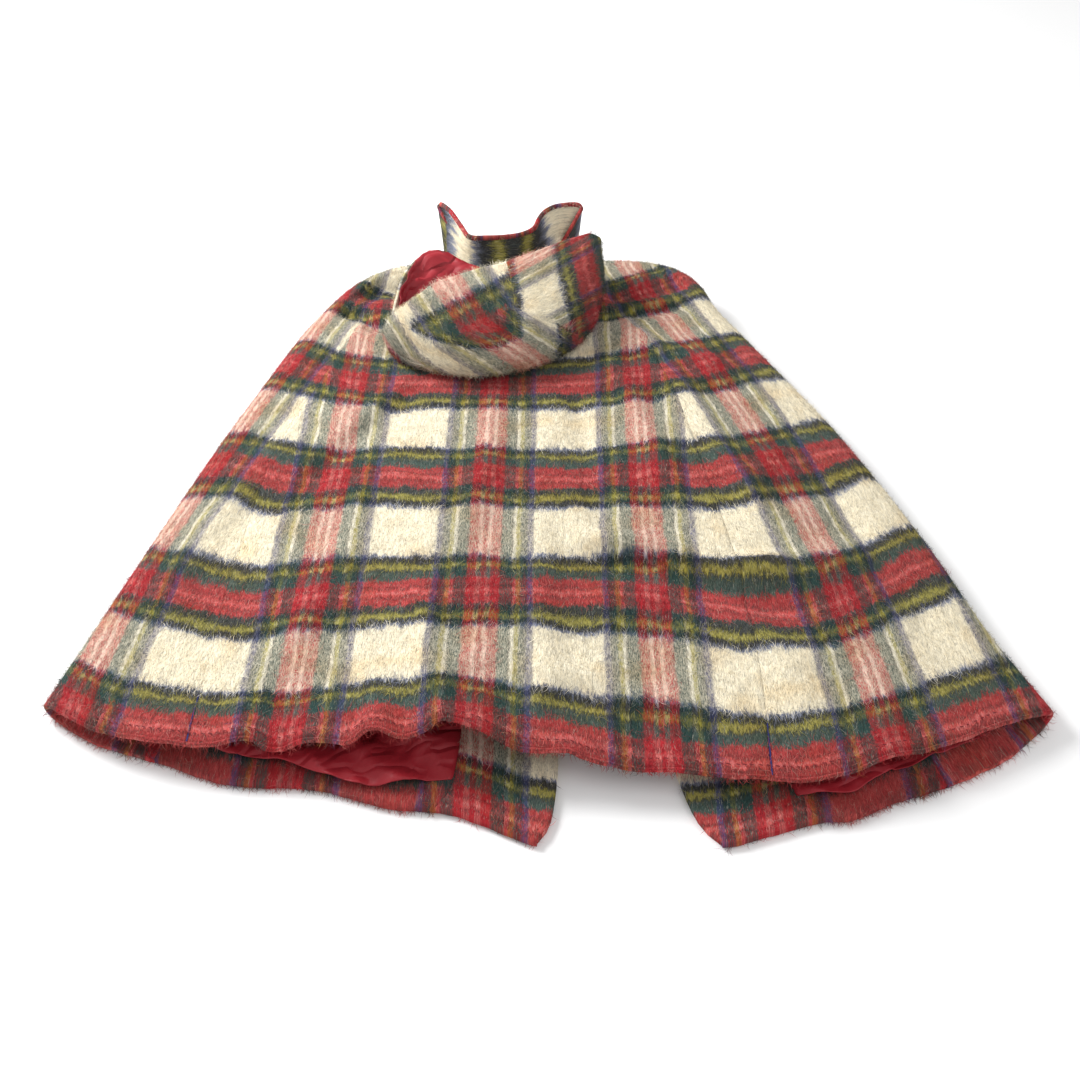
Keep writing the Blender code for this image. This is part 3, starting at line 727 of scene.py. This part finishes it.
def height_at(x, y):
    low, high = 0.0, 1.0
    for _ in range(HALVINGS):
        f = (low + high) / 2
        if upper_y(row_at(f), x) < y:
            low = f
        else:
            high = f
    return upper_z(row_at(low), x)


OUTWARD = {"left": -1, "right": 1}


def side_edge(row, side):
    return row.left_x if side == "left" else row.right_x


def side_seam(row, side):
    return row.seam_left if side == "left" else row.seam_right


def flat_end(row, side):
    """Where the flat cloth ends and its side fold starts."""
    return side_edge(row, side) - OUTWARD[side] * row.fold


def from_outside(u, side):
    """A share of the way from the cape's side to its middle."""
    return u if side == "left" else 1 - u


def front_edge(row, side):
    return read(FRONT_EDGES, "at", side, row.at)


def under_seam(row, side):
    return side_edge(row, side) - OUTWARD[side] * (row.fold + UNDER_SHARE * half_width(row))


def facing_edge(row, side):
    edge_x = front_edge(row, side)
    reach = min(FACING_WIDTH, FACING_MOST * abs(edge_x - under_seam(row, side)))
    return edge_x + OUTWARD[side] * reach


def fold_point(row, side, turn):
    x = side_edge(row, side) - OUTWARD[side] * row.fold * (1 - math.sin(turn))
    level = upper_y(row, x) if turn < math.pi / 2 else under_y(row, x)
    return Vector((x, level, row.fold * (1 + math.cos(turn))))


def rounded(share):
    return math.sqrt(max(1 - (1 - min(share, 1)) ** 2, 0))


def weft_at(x, y):
    """How far up the flat cloth a place on the top lies, from the middle of the hem's red band."""
    places = [read(WEFTS, "x", band, x) for band in Weft._fields[1:]]
    places.append(places[-1] + SHOULDER_DROP)
    i = min(max(sum(y > place for place in places) - 1, 0), len(places) - 2)
    return (i + (y - places[i]) / (places[i + 1] - places[i])) * REPEAT


def wobble(x, y, size, seed):
    return noise.noise(Vector((x / size, y / size, seed)))


def lumpy(x, y, lumps):
    return sum(lump.height * wobble(x, y, lump.size, lump.seed) for lump in lumps)


def relief(x, y):
    """The soft unevenness of thick cloth that lies loosely, in metres."""
    height = lumpy(x, y, LUMPS)
    for buckle in BUCKLES:
        run = Vector((buckle.x2 - buckle.x1, buckle.y2 - buckle.y1))
        away = Vector((x - buckle.x1, y - buckle.y1))
        along = away.dot(run) / run.length_squared
        sway = BUCKLE_SWAY * wobble(along, 0.0, BUCKLE_SWAY_LENGTH, buckle.x1)
        aside = away.cross(run) / run.length + sway
        past = max(-along, along - 1, 0) * run.length / (2 * buckle.width)
        height += BUCKLE_DEPTH * buckle.height * math.exp(-((aside / buckle.width) ** 2) - past * past)
    return height


def crumpled(x, y, size, seed):
    """Sharp folds between flat facets, as crisp lining has them, from 0 to 1."""
    first = 1 - abs(wobble(x, y, size, seed)) * 2.2
    second = 1 - abs(wobble(y + 0.4 * x, x - 0.3 * y, size * 0.55, seed + 5)) * 2.6
    return max(first, 0) ** 1.5 * 0.65 + max(second, 0) ** 1.5 * 0.35


def hem_wave(row, x):
    fade = max(1 - row.at / WAVE_REACH, 0) ** WAVE_POWER
    return WAVE_TILT * read(HEM_WAVES, "x", "reach", x) * fade


Panel = namedtuple("Panel", "points cuts steps")


def lay(steps, place):
    """A grid of points and their places on the flat cloth: place(u, v) gives both."""
    nu, nv = steps
    points, cuts = [], []
    for j in range(nv + 1):
        for i in range(nu + 1):
            point, cut = place(i / nu, j / nv)
            points.append(point)
            cuts.append(cut)
    return Panel(points, cuts, steps)


def grid_mesh(name, panel, turned=False):
    """Lays a grid on the panel's points and keeps their places on the flat cloth as the UV map.

    A turned panel's rows run back towards where they started, so its faces are reversed.
    """
    bm = bmesh.new()
    nu, nv = panel.steps
    bmesh.ops.create_grid(bm, x_segments=nu, y_segments=nv, size=0.5)
    layer = bm.loops.layers.uv.new("cut")
    for vert in bm.verts:
        i, j = round((vert.co.x + 0.5) * nu), round((vert.co.y + 0.5) * nv)
        vert.index = j * (nu + 1) + i
    for face in bm.faces:
        for loop in face.loops:
            loop[layer].uv = panel.cuts[loop.vert.index]
        face.smooth = True
    for vert in bm.verts:
        vert.co = panel.points[vert.index] + Vector((0, -MIDDLE_Y, 0))
    if turned:
        bmesh.ops.reverse_faces(bm, faces=bm.faces)
    mesh = bpy.data.meshes.new(name)
    bm.to_mesh(mesh)
    bm.free()
    return mesh


def piece(name, mesh, material, slot, replaced=(), thickness=0.0):
    obj = bpy.data.objects.new(name, mesh)
    mesh.materials.clear()
    mesh.materials.append(material)
    bpy.context.scene.collection.objects.link(obj)
    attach(obj, "root")
    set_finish(obj, slot)
    if replaced:
        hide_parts(*replaced)
    if thickness:
        wall = obj.modifiers.new("Wall", "SOLIDIFY")
        wall.thickness = thickness
        wall.offset = -1
        wall.use_rim = True
    return obj


def plaid_piece(node, panel, slot, turned=False):
    return piece(f"{node}_cloth", grid_mesh(node, panel, turned), plaid, slot, [node], CLOTH)


def lining_piece(node, mesh):
    return piece(f"{node}_cloth", mesh, red_lining, "red_lining", [node], LINING_WALL)


def back_place(u, v):
    row = row_at(v)
    x = row.seam_left + (row.seam_right - row.seam_left) * u
    point = upper_point(row, x)
    y = point.y - MIDDLE_Y
    point.z += relief(x, y)
    return point + hem_wave(row, x), (x - BACK_WARP_X, weft_at(x, y))


def side_place(side):
    """From the seam with the back, over the top, round the fold and under."""
    out = OUTWARD[side]

    def cut_of(x, y):
        pink = read(WARPS, "y", side, y)
        return x - pink, weft_at(min(max(x, -CUT_MOST_X), CUT_MOST_X), y)

    def place(u, v):
        share = 1 - u if side == "left" else u
        row = row_at(v)
        seam_x, start_x = side_seam(row, side), flat_end(row, side)
        if share <= SIDE_OVER:
            x = seam_x + (start_x - seam_x) * share / SIDE_OVER
            point = upper_point(row, x)
            y = point.y - MIDDLE_Y
            off = min((SIDE_OVER - share) / FOLD_BLEND, 1)
            point.z += relief(x, y) * off
            return point + hem_wave(row, x) * off, cut_of(x, y)
        turn = math.pi * min((share - SIDE_OVER) / (SIDE_TURNED - SIDE_OVER), 1)
        flat = start_x + out * row.fold * turn
        if share <= SIDE_TURNED:
            point = fold_point(row, side, turn)
        else:
            end_x = under_seam(row, side)
            x = start_x + (end_x - start_x) * (share - SIDE_TURNED) / (1 - SIDE_TURNED)
            point = under_point(row, x)
            flat += abs(x - start_x) * out
        cut_u, cut_v = cut_of(start_x, upper_y(row, start_x) - MIDDLE_Y)
        return point, (cut_u + flat - start_x, cut_v)

    return place


def front_place(side):
    def place(u, v):
        row = row_at(v)
        first, last = under_seam(row, side), front_edge(row, side)
        x = first + (last - first) * from_outside(u, side)
        point = under_point(row, x, CLOTH)
        hem_y = under_y(row_at(0.0), x)
        return point, (x - FRONT_WARP_X[side], point.y - hem_y - HEM_WEFT)

    return place


def rim_swell(x):
    return 1 + ROLL_SWELL * wobble(x, 0.0, ROLL_SWELL_LENGTH, 2.2)


def strip_panel(side, first_of, last_of, high, steps, weft_of):
    """A stretch of the fronts' inside, between two lines up the front, with its turn round the rim."""
    roll = ROLL_ROWS / steps[1]

    def place(u, v):
        row = row_at(high * max(v - roll, 0) / (1 - roll))
        first, last = first_of(row, side), last_of(row, side)
        x = first + (last - first) * from_outside(u, side)
        point = under_point(row, x, TURN_RISE)
        rise = point.y - under_y(row_at(0.0), x)
        angle = math.pi * (1 - min(v / roll, 1))
        point.y -= math.sin(angle) * TURN_RISE * ROLL_REACH * rim_swell(x)
        point.z = TURN_RISE / 2 * (1 + math.cos(angle))
        return point, (x - FRONT_WARP_X[side], weft_of(rise))

    return lay(steps, place)


def facing_weft(rise):
    return rise - HEM_WEFT


# Painted shade: the inside strips are kept on the weft's dark red
def shaded_inside_weft(rise):
    return SHADED_INSIDE_WEFT - rise * SHADED_INSIDE_RATE


def rolled_hem(panel):
    """The cloth's turn round the hem and its strip inside: from the panel's first row, round and back up."""
    nu, nv = panel.steps
    width = nu + 1

    def point(i, j):
        return panel.points[j * width + i]

    points, cuts, edge = [], [], []
    for i in range(width):
        before, after = point(max(i - 1, 0), 0), point(min(i + 1, nu), 0)
        along = (after - before).normalized()
        out = (point(i, 0) - point(i, 1)).normalized()
        normal = along.cross(-out).normalized()
        edge.append((out, normal))
    for step in range(ROLL_ROWS + 1):
        angle = math.pi * step / ROLL_ROWS
        for i in range(width):
            out, normal = edge[i]
            centre = point(i, 0) - normal * TURN_RISE / 2
            reach = out * math.sin(angle) * TURN_RISE * ROLL_REACH * rim_swell(point(i, 0).x)
            points.append(centre + normal * math.cos(angle) * TURN_RISE / 2 + reach)
            # Round the rim the weft moves to the bright red: painted highlight
            u, v = panel.cuts[i]
            cuts.append((u, v + (RIM_HIGHLIGHT_WEFT - v) * math.sin(angle)))
    for j in range(1, HEM_ROWS + 1):
        for i in range(width):
            here, up = point(i, j), point(i, min(j + 1, nv))
            side = point(min(i + 1, nu), j) - point(max(i - 1, 0), j)
            normal = side.cross(up - point(i, j - 1)).normalized()
            points.append(here - normal * TURN_RISE)
            u, v = panel.cuts[i]
            rise = panel.cuts[j * width + i][1] - v
            cuts.append((u, shaded_inside_weft(rise)))
    return Panel(points, cuts, (nu, ROLL_ROWS + HEM_ROWS))


def lining_place(side):
    def place(u, v):
        hem = row_at(0.0)
        first_hem, last_hem = flat_end(hem, side), facing_edge(hem, side)
        share = from_outside(u, side)
        lowest = read(LINING_EDGE, "x", "at", first_hem + (last_hem - first_hem) * share)
        row = row_at(lowest + (LINING_TOP - lowest) * v**LINING_ROW_POWER)
        first, last = flat_end(row, side), facing_edge(row, side)
        x = first + (last - first) * share
        point = under_point(row, x, 2 * (CLOTH + GAP))
        y = point.y - MIDDLE_Y
        edge = min(share / LINING_SIDE_FADE, (1 - share) / LINING_FACING_FADE, 1)
        sway = LINING_SWAY * wobble(x, y, LINING_SWAY_SIZE, 1.7)
        slack = 0.5 + 0.5 * math.sin(math.tau * (x + 0.9 * y) / LINING_WAVE_LENGTH + sway)
        folds = crumpled(x + 0.7 * y, y * 0.5 - 0.35 * x, LINING_FOLD_SIZE, 2.6)
        height = LINING_WAVE * slack + LINING_FOLD * folds + LINING_REST
        point.z += edge * height * (1 - v) ** LINING_FLATTEN
        return point, (x, y)

    return place


@lru_cache(maxsize=None)
def hood_fold(a):
    fold = Fold(a, *(read(HOOD, "at", column, a) for column in Fold._fields[1:]))
    return fold, height_at(fold.crown_x, fold.crown_y) + HOOD_CLEAR


def hood_point(turn, depth):
    near = 1 if turn <= 0.5 else -1
    a = (1 - math.cos(math.tau * turn)) / 2
    fold, floor = hood_fold(round(a, 6))
    rim = Vector((fold.rim_x, fold.rim_y, fold.rim_z))
    far = Vector((fold.far_x, fold.far_y, fold.far_z))
    upper = rim.lerp(Vector((fold.crown_x, fold.crown_y, floor + HOOD_HEIGHT)), depth)
    upper.z += HOOD_PUFF * math.sin(math.pi * depth)
    lower = far.lerp(Vector((fold.crown_x, fold.crown_y, floor)), depth)
    lie = height_at(lower.x, lower.y) + HOOD_CLEAR
    lower.z = far.z + (lie - far.z) * min(depth / LIE_DEPTH, 1) ** LIE_POWER
    round_end = rounded(min(a, 1 - a) / HOOD_END)
    round_crown = rounded((1 - depth) / HOOD_CROWN)
    half = (upper - lower) / 2 * round_end * round_crown
    point = (upper + lower) / 2 + half * near
    if near > 0:
        point.z += lumpy(point.x, point.y, HOOD_LUMPS) * round_end * round_crown
    return point


def seen_at(point):
    """Where the camera sees a point, in the picture's pixels."""
    away = CAMERA_TURN.inverted() @ (point - CAMERA_PLACE)
    return Vector((away.x, -away.y)) * FOCAL / -away.z + PICTURE_MIDDLE


def is_right(point):
    seen = seen_at(point)
    return seen.x > HOOD_SEAM[0].x and seen.y < read(HOOD_SEAM, "x", "y", seen.x)


def hood_cut(point, right):
    """The hood's grain: each half is cut on the cross, and the left one's bands fan out from its corner."""
    seen = seen_at(point)
    if right:
        below = (seen - RIGHT_RIM).dot(RIGHT_RIM_DOWN)
        red_x = RIGHT_RED.x + (seen.y - RIGHT_RED.y) * RIGHT_RED_LEAN
        return (below - RIGHT_WARP_BELOW) * RIGHT_WARP_RATE, (seen.x - red_x) * RIGHT_WEFT_RATE
    away = seen - LEFT_RIM
    along, below = away.dot(LEFT_RIM_ALONG), away.dot(LEFT_RIM_DOWN)
    above_roll = (read(HOOD_ROLL, "x", "y", seen.x) - seen.y) * ROLL_SHARE
    inside = min(above_roll, (seen.x - HOOD_ROLL[0].x) * CORNER_SHARE)
    from_rim = RED_HALF + (RIM_TO_RED - below) * RIM_RATE
    from_roll = RED_HALF + (ROLL_TO_RED - inside) * ROLL_RATE
    from_seam = RED_HALF + (seen.x - HOOD_RED_END) * SEAM_RATE
    pink = PINK_ALONG + PINK_LEAN * below + PINK_BEND * max(below - PINK_BEND_BELOW, 0)
    return -read(HOOD_BUNCH, "away", "cut", pink - along), max(from_rim, from_roll, from_seam, 0.0)


def hood_place(first, last):
    def place(u, v):
        point = hood_point((first + (last - first) * u) % 1, 1 - v)
        return point, (point.x, point.y)

    return place


def ring_point(row, at):
    side = "left" if at < 0 else "right"
    start_x = flat_end(row, side)
    if abs(at) <= 1:
        return upper_point(row, middle(row) + (half_width(row) - row.fold) * at)
    if abs(at) <= 2:
        return fold_point(row, side, math.pi * (abs(at) - 1))
    return under_point(row, start_x + (front_edge(row, side) - start_x) * (abs(at) - 2))


def collar_place(u, v):
    neck = row_at(1.0)
    at = -3 + 6 * u
    foot = ring_point(neck, at)
    top = Vector([read(COLLAR, "at", axis, at) for axis in "xyz"])
    foot.y += COLLAR_GAP + COLLAR_UNDER_GAP * min(max(abs(at) - 1, 0) * COLLAR_FOLD_RATE, 1)
    # Painted shade: the collar's middle takes the dark stripes
    off = abs(at - COLLAR_SHADE_AT) % (2 * COLLAR_TURN)
    off = min(off, 2 * COLLAR_TURN - off)
    share = COLLAR_SHADE_SHARE - COLLAR_RATE * off
    return foot.lerp(top, v), (v * COLLAR_DEEP + COLLAR_WARP, (share - 0.5) * REPEAT)


def attribute(data, key, width, kind=float):
    """One attribute of all of a mesh's parts, with width numbers for each."""
    values = np.empty(len(data) * width, kind)
    data.foreach_get(key, values)
    return values.reshape(-1, width)


Nap = namedtuple("Nap", "count length lift width")


def nap(name, source, hairs, material, slot, seed):
    """Loose hairs combed along the warp, each with its root's place on the flat cloth and so its colour."""
    rng = np.random.default_rng(seed)
    mesh = source.data
    mesh.calc_loop_triangles()
    triangles = attribute(mesh.loop_triangles, "vertices", 3, int)
    loops = attribute(mesh.loop_triangles, "loops", 3, int)
    corners = attribute(mesh.vertices, "co", 3)[triangles]
    cuts = attribute(mesh.uv_layers["cut"].data, "uv", 2)[loops]
    one, two = corners[:, 1] - corners[:, 0], corners[:, 2] - corners[:, 0]
    normals = np.cross(one, two)
    areas = np.linalg.norm(normals, axis=1)
    normals /= np.maximum(areas, 1e-12)[:, None]
    cut_one, cut_two = cuts[:, 1] - cuts[:, 0], cuts[:, 2] - cuts[:, 0]
    turn = cut_one[:, 0] * cut_two[:, 1] - cut_one[:, 1] * cut_two[:, 0]
    turn = np.where(abs(turn) < 1e-12, 1e-12, turn)[:, None]
    combed = (two * cut_one[:, :1] - one * cut_two[:, :1]) / turn
    combed /= np.maximum(np.linalg.norm(combed, axis=1), 1e-9)[:, None]
    chosen = rng.choice(len(areas), hairs.count, p=areas / areas.sum())
    share = rng.random((hairs.count, 2))
    share = np.where(share.sum(1, keepdims=True) > 1, 1 - share, share)
    root = corners[chosen, 0] + one[chosen] * share[:, :1] + two[chosen] * share[:, 1:]
    place = cuts[chosen, 0] + cut_one[chosen] * share[:, :1] + cut_two[chosen] * share[:, 1:]
    up, comb = normals[chosen], combed[chosen]
    beside = np.cross(up, comb)
    angle = rng.normal(0, HAIR_SPREAD, hairs.count) + np.where(rng.random(hairs.count) < 0.5, 0, math.pi)
    stray = rng.random(hairs.count) < STRAY_SHARE
    angle = np.where(stray, rng.random(hairs.count) * math.tau, angle)
    bend = rng.normal(0, HAIR_BEND, hairs.count)
    length = hairs.length * rng.uniform(*HAIR_LENGTHS, hairs.count)
    rise = hairs.lift * rng.uniform(*MIDDLE_RISES, hairs.count)

    def heading(turned):
        return comb * np.cos(turned)[:, None] + beside * np.sin(turned)[:, None]

    step = length[:, None] / 2
    mid = root + heading(angle) * step + up * rise[:, None]
    tip = mid + heading(angle + bend) * step + up * (rise * rng.uniform(*TIP_RISES, hairs.count))[:, None]
    root = root - up * ROOT_SINK
    wide = np.cross(up, heading(angle + bend / 2)) * hairs.width / 2
    verts = np.stack([root - wide, root + wide, mid + wide, mid - wide, tip], 1).reshape(-1, 3)
    verts[:, 2] = np.maximum(verts[:, 2], HAIR_LOWEST)
    return piece(name, hair_mesh(name, verts, place), material, slot)


def hair_mesh(name, verts, place):
    """Each hair is a four-sided face and a three-sided tip, on five points."""
    base = np.arange(len(place))[:, None] * 5
    corners = np.concatenate([base + [0, 1, 2, 3], base + [3, 2, 4]], 1).ravel()
    sizes = np.tile([4, 3], len(place))
    mesh = bpy.data.meshes.new(name)
    mesh.vertices.add(len(verts))
    mesh.vertices.foreach_set("co", verts.ravel())
    mesh.loops.add(len(corners))
    mesh.loops.foreach_set("vertex_index", corners)
    mesh.polygons.add(len(sizes))
    mesh.polygons.foreach_set("loop_start", np.concatenate([[0], np.cumsum(sizes)[:-1]]))
    mesh.update(calc_edges=True)
    mesh.uv_layers.new(name="cut")
    mesh.uv_layers["cut"].data.foreach_set("uv", np.repeat(place, 7, axis=0).ravel())
    mesh.shade_smooth()
    return mesh


def make_body():
    back = lay(BACK_STEPS, back_place)
    made = {"back": plaid_piece("back", back, "plaid_cream")}
    hem = grid_mesh("back_hem", rolled_hem(back), turned=True)
    made["hem_back"] = piece("back_hem", hem, plaid, "plaid_green", ["hem_back"], CLOTH)
    for side in OUTWARD:
        name, hem_name = f"side_{side}", f"hem_side_{side}"
        panel = lay(SIDE_STEPS, side_place(side))
        made[name] = plaid_piece(name, panel, "plaid_red")
        made[hem_name] = plaid_piece(hem_name, rolled_hem(panel), "plaid_green", turned=True)
    return made


def make_fronts():
    made = {}
    for side in OUTWARD:
        front = lay(FRONT_STEPS, front_place(side))
        facing = strip_panel(side, facing_edge, front_edge, 1.0, FACING_STEPS, facing_weft)
        strip = strip_panel(side, under_seam, facing_edge, HEM_STRIP_SHARE, HEM_STRIP_STEPS, shaded_inside_weft)
        for part, panel, slot in (
            ("front", front, "plaid_red"),
            ("facing", facing, "plaid_green"),
            ("hem_front", strip, "plaid_green"),
        ):
            made[f"{part}_{side}"] = plaid_piece(f"{part}_{side}", panel, slot)
        name = f"lining_{side}"
        made[name] = lining_piece(name, grid_mesh(name, lay(LINING_STEPS, lining_place(side))))
    return made


def make_hood():
    made = {}
    for side, first, slot in (("left", -0.25, "plaid_red"), ("right", 0.25, "plaid_cream")):
        name = f"hood_{side}"
        mesh = grid_mesh(name, lay(HOOD_STEPS, hood_place(first, first + 0.5)))
        cuts = mesh.uv_layers["cut"].data
        for face in mesh.polygons:
            right = is_right(face.center)
            for loop, vert in zip(face.loop_indices, face.vertices):
                cuts[loop].uv = hood_cut(mesh.vertices[vert].co, right)
        made[name] = piece(f"{name}_cloth", mesh, plaid, slot, [name], CLOTH)
    mesh = grid_mesh("hood_lining", lay(HOOD_LINING_STEPS, hood_place(HOOD_TIP, 1 - HOOD_TIP)))
    normals = [vert.normal.copy() for vert in mesh.vertices]
    for vert, normal in zip(mesh.vertices, normals):
        crease = crumpled(vert.co.x, vert.co.y + vert.co.z, HOOD_LINING_CREASE_SIZE, 4.8)
        vert.co -= normal * (CLOTH + GAP + HOOD_LINING_CREASE * crease)
    made["hood_lining"] = lining_piece("hood_lining", mesh)
    return made


def make_collar():
    panel = lay(COLLAR_STEPS, collar_place)
    collar = plaid_piece("collar", panel, "plaid_green")
    last = COLLAR_STEPS[0]
    tops = panel.points[-(last + 1) :]
    feet = panel.points[-2 * (last + 1) : -(last + 1)]

    def edging_place(u, v):
        """Round the top edge: down the outside, over and down the inside."""
        i = round(u * last)
        top, along = tops[i], (tops[min(i + 1, last)] - tops[max(i - 1, 0)]).normalized()
        up = (top - feet[i]).normalized()
        aside = along.cross(up).normalized()
        centre = top - aside * CLOTH / 2
        angle = math.pi * (v * 2 - 1) * EDGING_TURN
        round_edge = aside * math.sin(angle) * EDGING_THICK
        point = centre + round_edge + up * (math.cos(angle) - EDGING_SINK) * EDGING_DEEP
        weft = EDGING_WEFT + EDGING_WEFT_SWAY * wobble(i * 0.05, 0.0, 1.0, 3.3)
        return point, (i * EDGING_WARP_STEP, weft)

    edging = grid_mesh("collar_edging", lay((last, EDGING_ROWS), edging_place))
    return {"collar": collar, "edging": piece("collar_edging", edging, plaid, "plaid_red")}


def ribbon_mesh(name, lines, thread):
    """Flat threads along lines of points on the cloth."""
    bm = bmesh.new()
    up = Vector((0, 0, 1))
    for line in lines:
        edges = []
        for i, point in enumerate(line):
            along = line[min(i + 1, len(line) - 1)] - line[max(i - 1, 0)]
            aside = along.cross(up).normalized() * thread.width / 2
            raised = point + up * thread.lift + Vector((0, -MIDDLE_Y, 0))
            edges.append((bm.verts.new(raised - aside), bm.verts.new(raised + aside)))
        for (a, b), (c, d) in zip(edges, edges[1:]):
            bm.faces.new((a, b, d, c))
    mesh = bpy.data.meshes.new(name)
    bm.to_mesh(mesh)
    bm.free()
    return mesh


def top_point(f, x):
    row = row_at(f)
    point = upper_point(row, x)
    point.z += relief(x, point.y - MIDDLE_Y)
    return point + hem_wave(row, x)


def make_threads():
    stitches = []
    for n in range(STITCHES):
        scatter = STITCH_SCATTER * wobble(n, 0.0, 1.7, 2.9)
        x = STITCH_START_X + STITCHED_WIDTH * (n + scatter) / STITCHES
        slant = STITCH_SLANT * wobble(n, 5.0, 1.3, 4.1)
        end = top_point(STITCH_AT - STITCH_DROP, x + STITCH_LENGTH + slant)
        stitches.append([top_point(STITCH_AT, x), end])
    mesh = ribbon_mesh("hem_stitches", stitches, HEM_THREAD)
    piece("hem_stitches", mesh, thread_dark, "plaid_green")
    seams = []
    for side in OUTWARD:
        seam_rows = [row_at(SEAM_SHOWS * step / SEAM_STEPS) for step in range(SEAM_STEPS + 1)]
        seams.append([top_point(row.at, side_seam(row, side)) for row in seam_rows])
    piece("seam_threads", ribbon_mesh("seam_threads", seams, SEAM_THREAD), thread_blue, "plaid_green")


def plain_thread(name, colour):
    g = Graph(name)
    g.shader.inputs["Specular IOR Level"].default_value = 0.2
    return g.finish(Base_Color=(*colour, 1), Roughness=0.8)


Lamp = namedtuple("Lamp", "name x y z size power")
LAMPS = (
    Lamp("key", -1.6, 0.9, 1.35, 0.9, 72),
    Lamp("fill", 1.6, -0.8, 2.0, 1.6, 10),
)
WORLD_LIGHT = 0.70
FLOOR_WIDTH = 8.0
FLOOR_DROP = 0.0004
SENSOR_WIDTH = 36


def make_stage():
    bpy.ops.mesh.primitive_plane_add(size=FLOOR_WIDTH, location=(0, 0, -FLOOR_DROP))
    floor = bpy.context.object
    floor.name = "floor"
    floor.data.materials.append(floor_paper())
    world = bpy.data.worlds.new("studio")
    bpy.context.scene.world = world
    world.use_nodes = True
    world.node_tree.nodes["Background"].inputs[0].default_value = (1, 1, 1, 1)
    world.node_tree.nodes["Background"].inputs[1].default_value = WORLD_LIGHT
    for lamp in LAMPS:
        data = bpy.data.lights.new(lamp.name, "AREA")
        data.size = lamp.size
        data.energy = lamp.power
        light = bpy.data.objects.new(lamp.name, data)
        light.location = (lamp.x, lamp.y, lamp.z)
        light.rotation_euler = (-light.location).to_track_quat("-Z", "Y").to_euler()
        bpy.context.scene.collection.objects.link(light)


def make_camera():
    data = bpy.data.cameras.new("photo_camera")
    data.sensor_width = SENSOR_WIDTH
    data.lens = data.sensor_width * FOCAL / PICTURE
    camera = bpy.data.objects.new("photo_camera", data)
    camera.location = CAMERA_PLACE
    camera.rotation_euler = CAMERA_TURN.to_euler()
    bpy.context.scene.collection.objects.link(camera)
    bpy.context.scene.camera = camera
    bpy.context.scene.view_settings.view_transform = "Standard"


plaid = plaid_cloth("mohair_plaid", 1.0)
# The hairs' copy of the plaid, a tenth lighter: painted light where the loose hairs catch the lamps
lit_plaid_hairs = plaid_cloth("mohair_hairs_painted_light", 1.1)
red_lining = lining_cloth("red_lining")
thread_dark = plain_thread("dark_thread", (0.13, 0.014, 0.018))
thread_blue = plain_thread("blue_thread", (0.020, 0.026, 0.12))
make_camera()
make_stage()
pieces = {**make_body(), **make_fronts(), **make_hood(), **make_collar()}
make_threads()
NAPS = {
    "back": Nap(54000, 0.009, 0.0018, 0.00032),
    "side_left": Nap(42000, 0.009, 0.0018, 0.00032),
    "side_right": Nap(50000, 0.009, 0.0018, 0.00032),
    "hood_left": Nap(16000, 0.010, 0.0022, 0.00030),
    "hood_right": Nap(16000, 0.010, 0.0022, 0.00030),
    "collar": Nap(9000, 0.007, 0.0016, 0.00028),
    "hem_back": Nap(5000, 0.008, 0.0018, 0.00030),
    "hem_side_left": Nap(3000, 0.008, 0.0018, 0.00030),
    "hem_side_right": Nap(3000, 0.008, 0.0018, 0.00030),
    "facing_left": Nap(6000, 0.009, 0.0018, 0.00030),
    "facing_right": Nap(6000, 0.009, 0.0018, 0.00030),
    "hem_front_left": Nap(3000, 0.008, 0.0015, 0.00030),
    "hem_front_right": Nap(3000, 0.008, 0.0015, 0.00030),
}
for number, (name, hairs) in enumerate(NAPS.items()):
    slot = pieces[name]["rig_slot"]
    nap(f"{name}_nap", pieces[name], hairs, lit_plaid_hairs, slot, number)
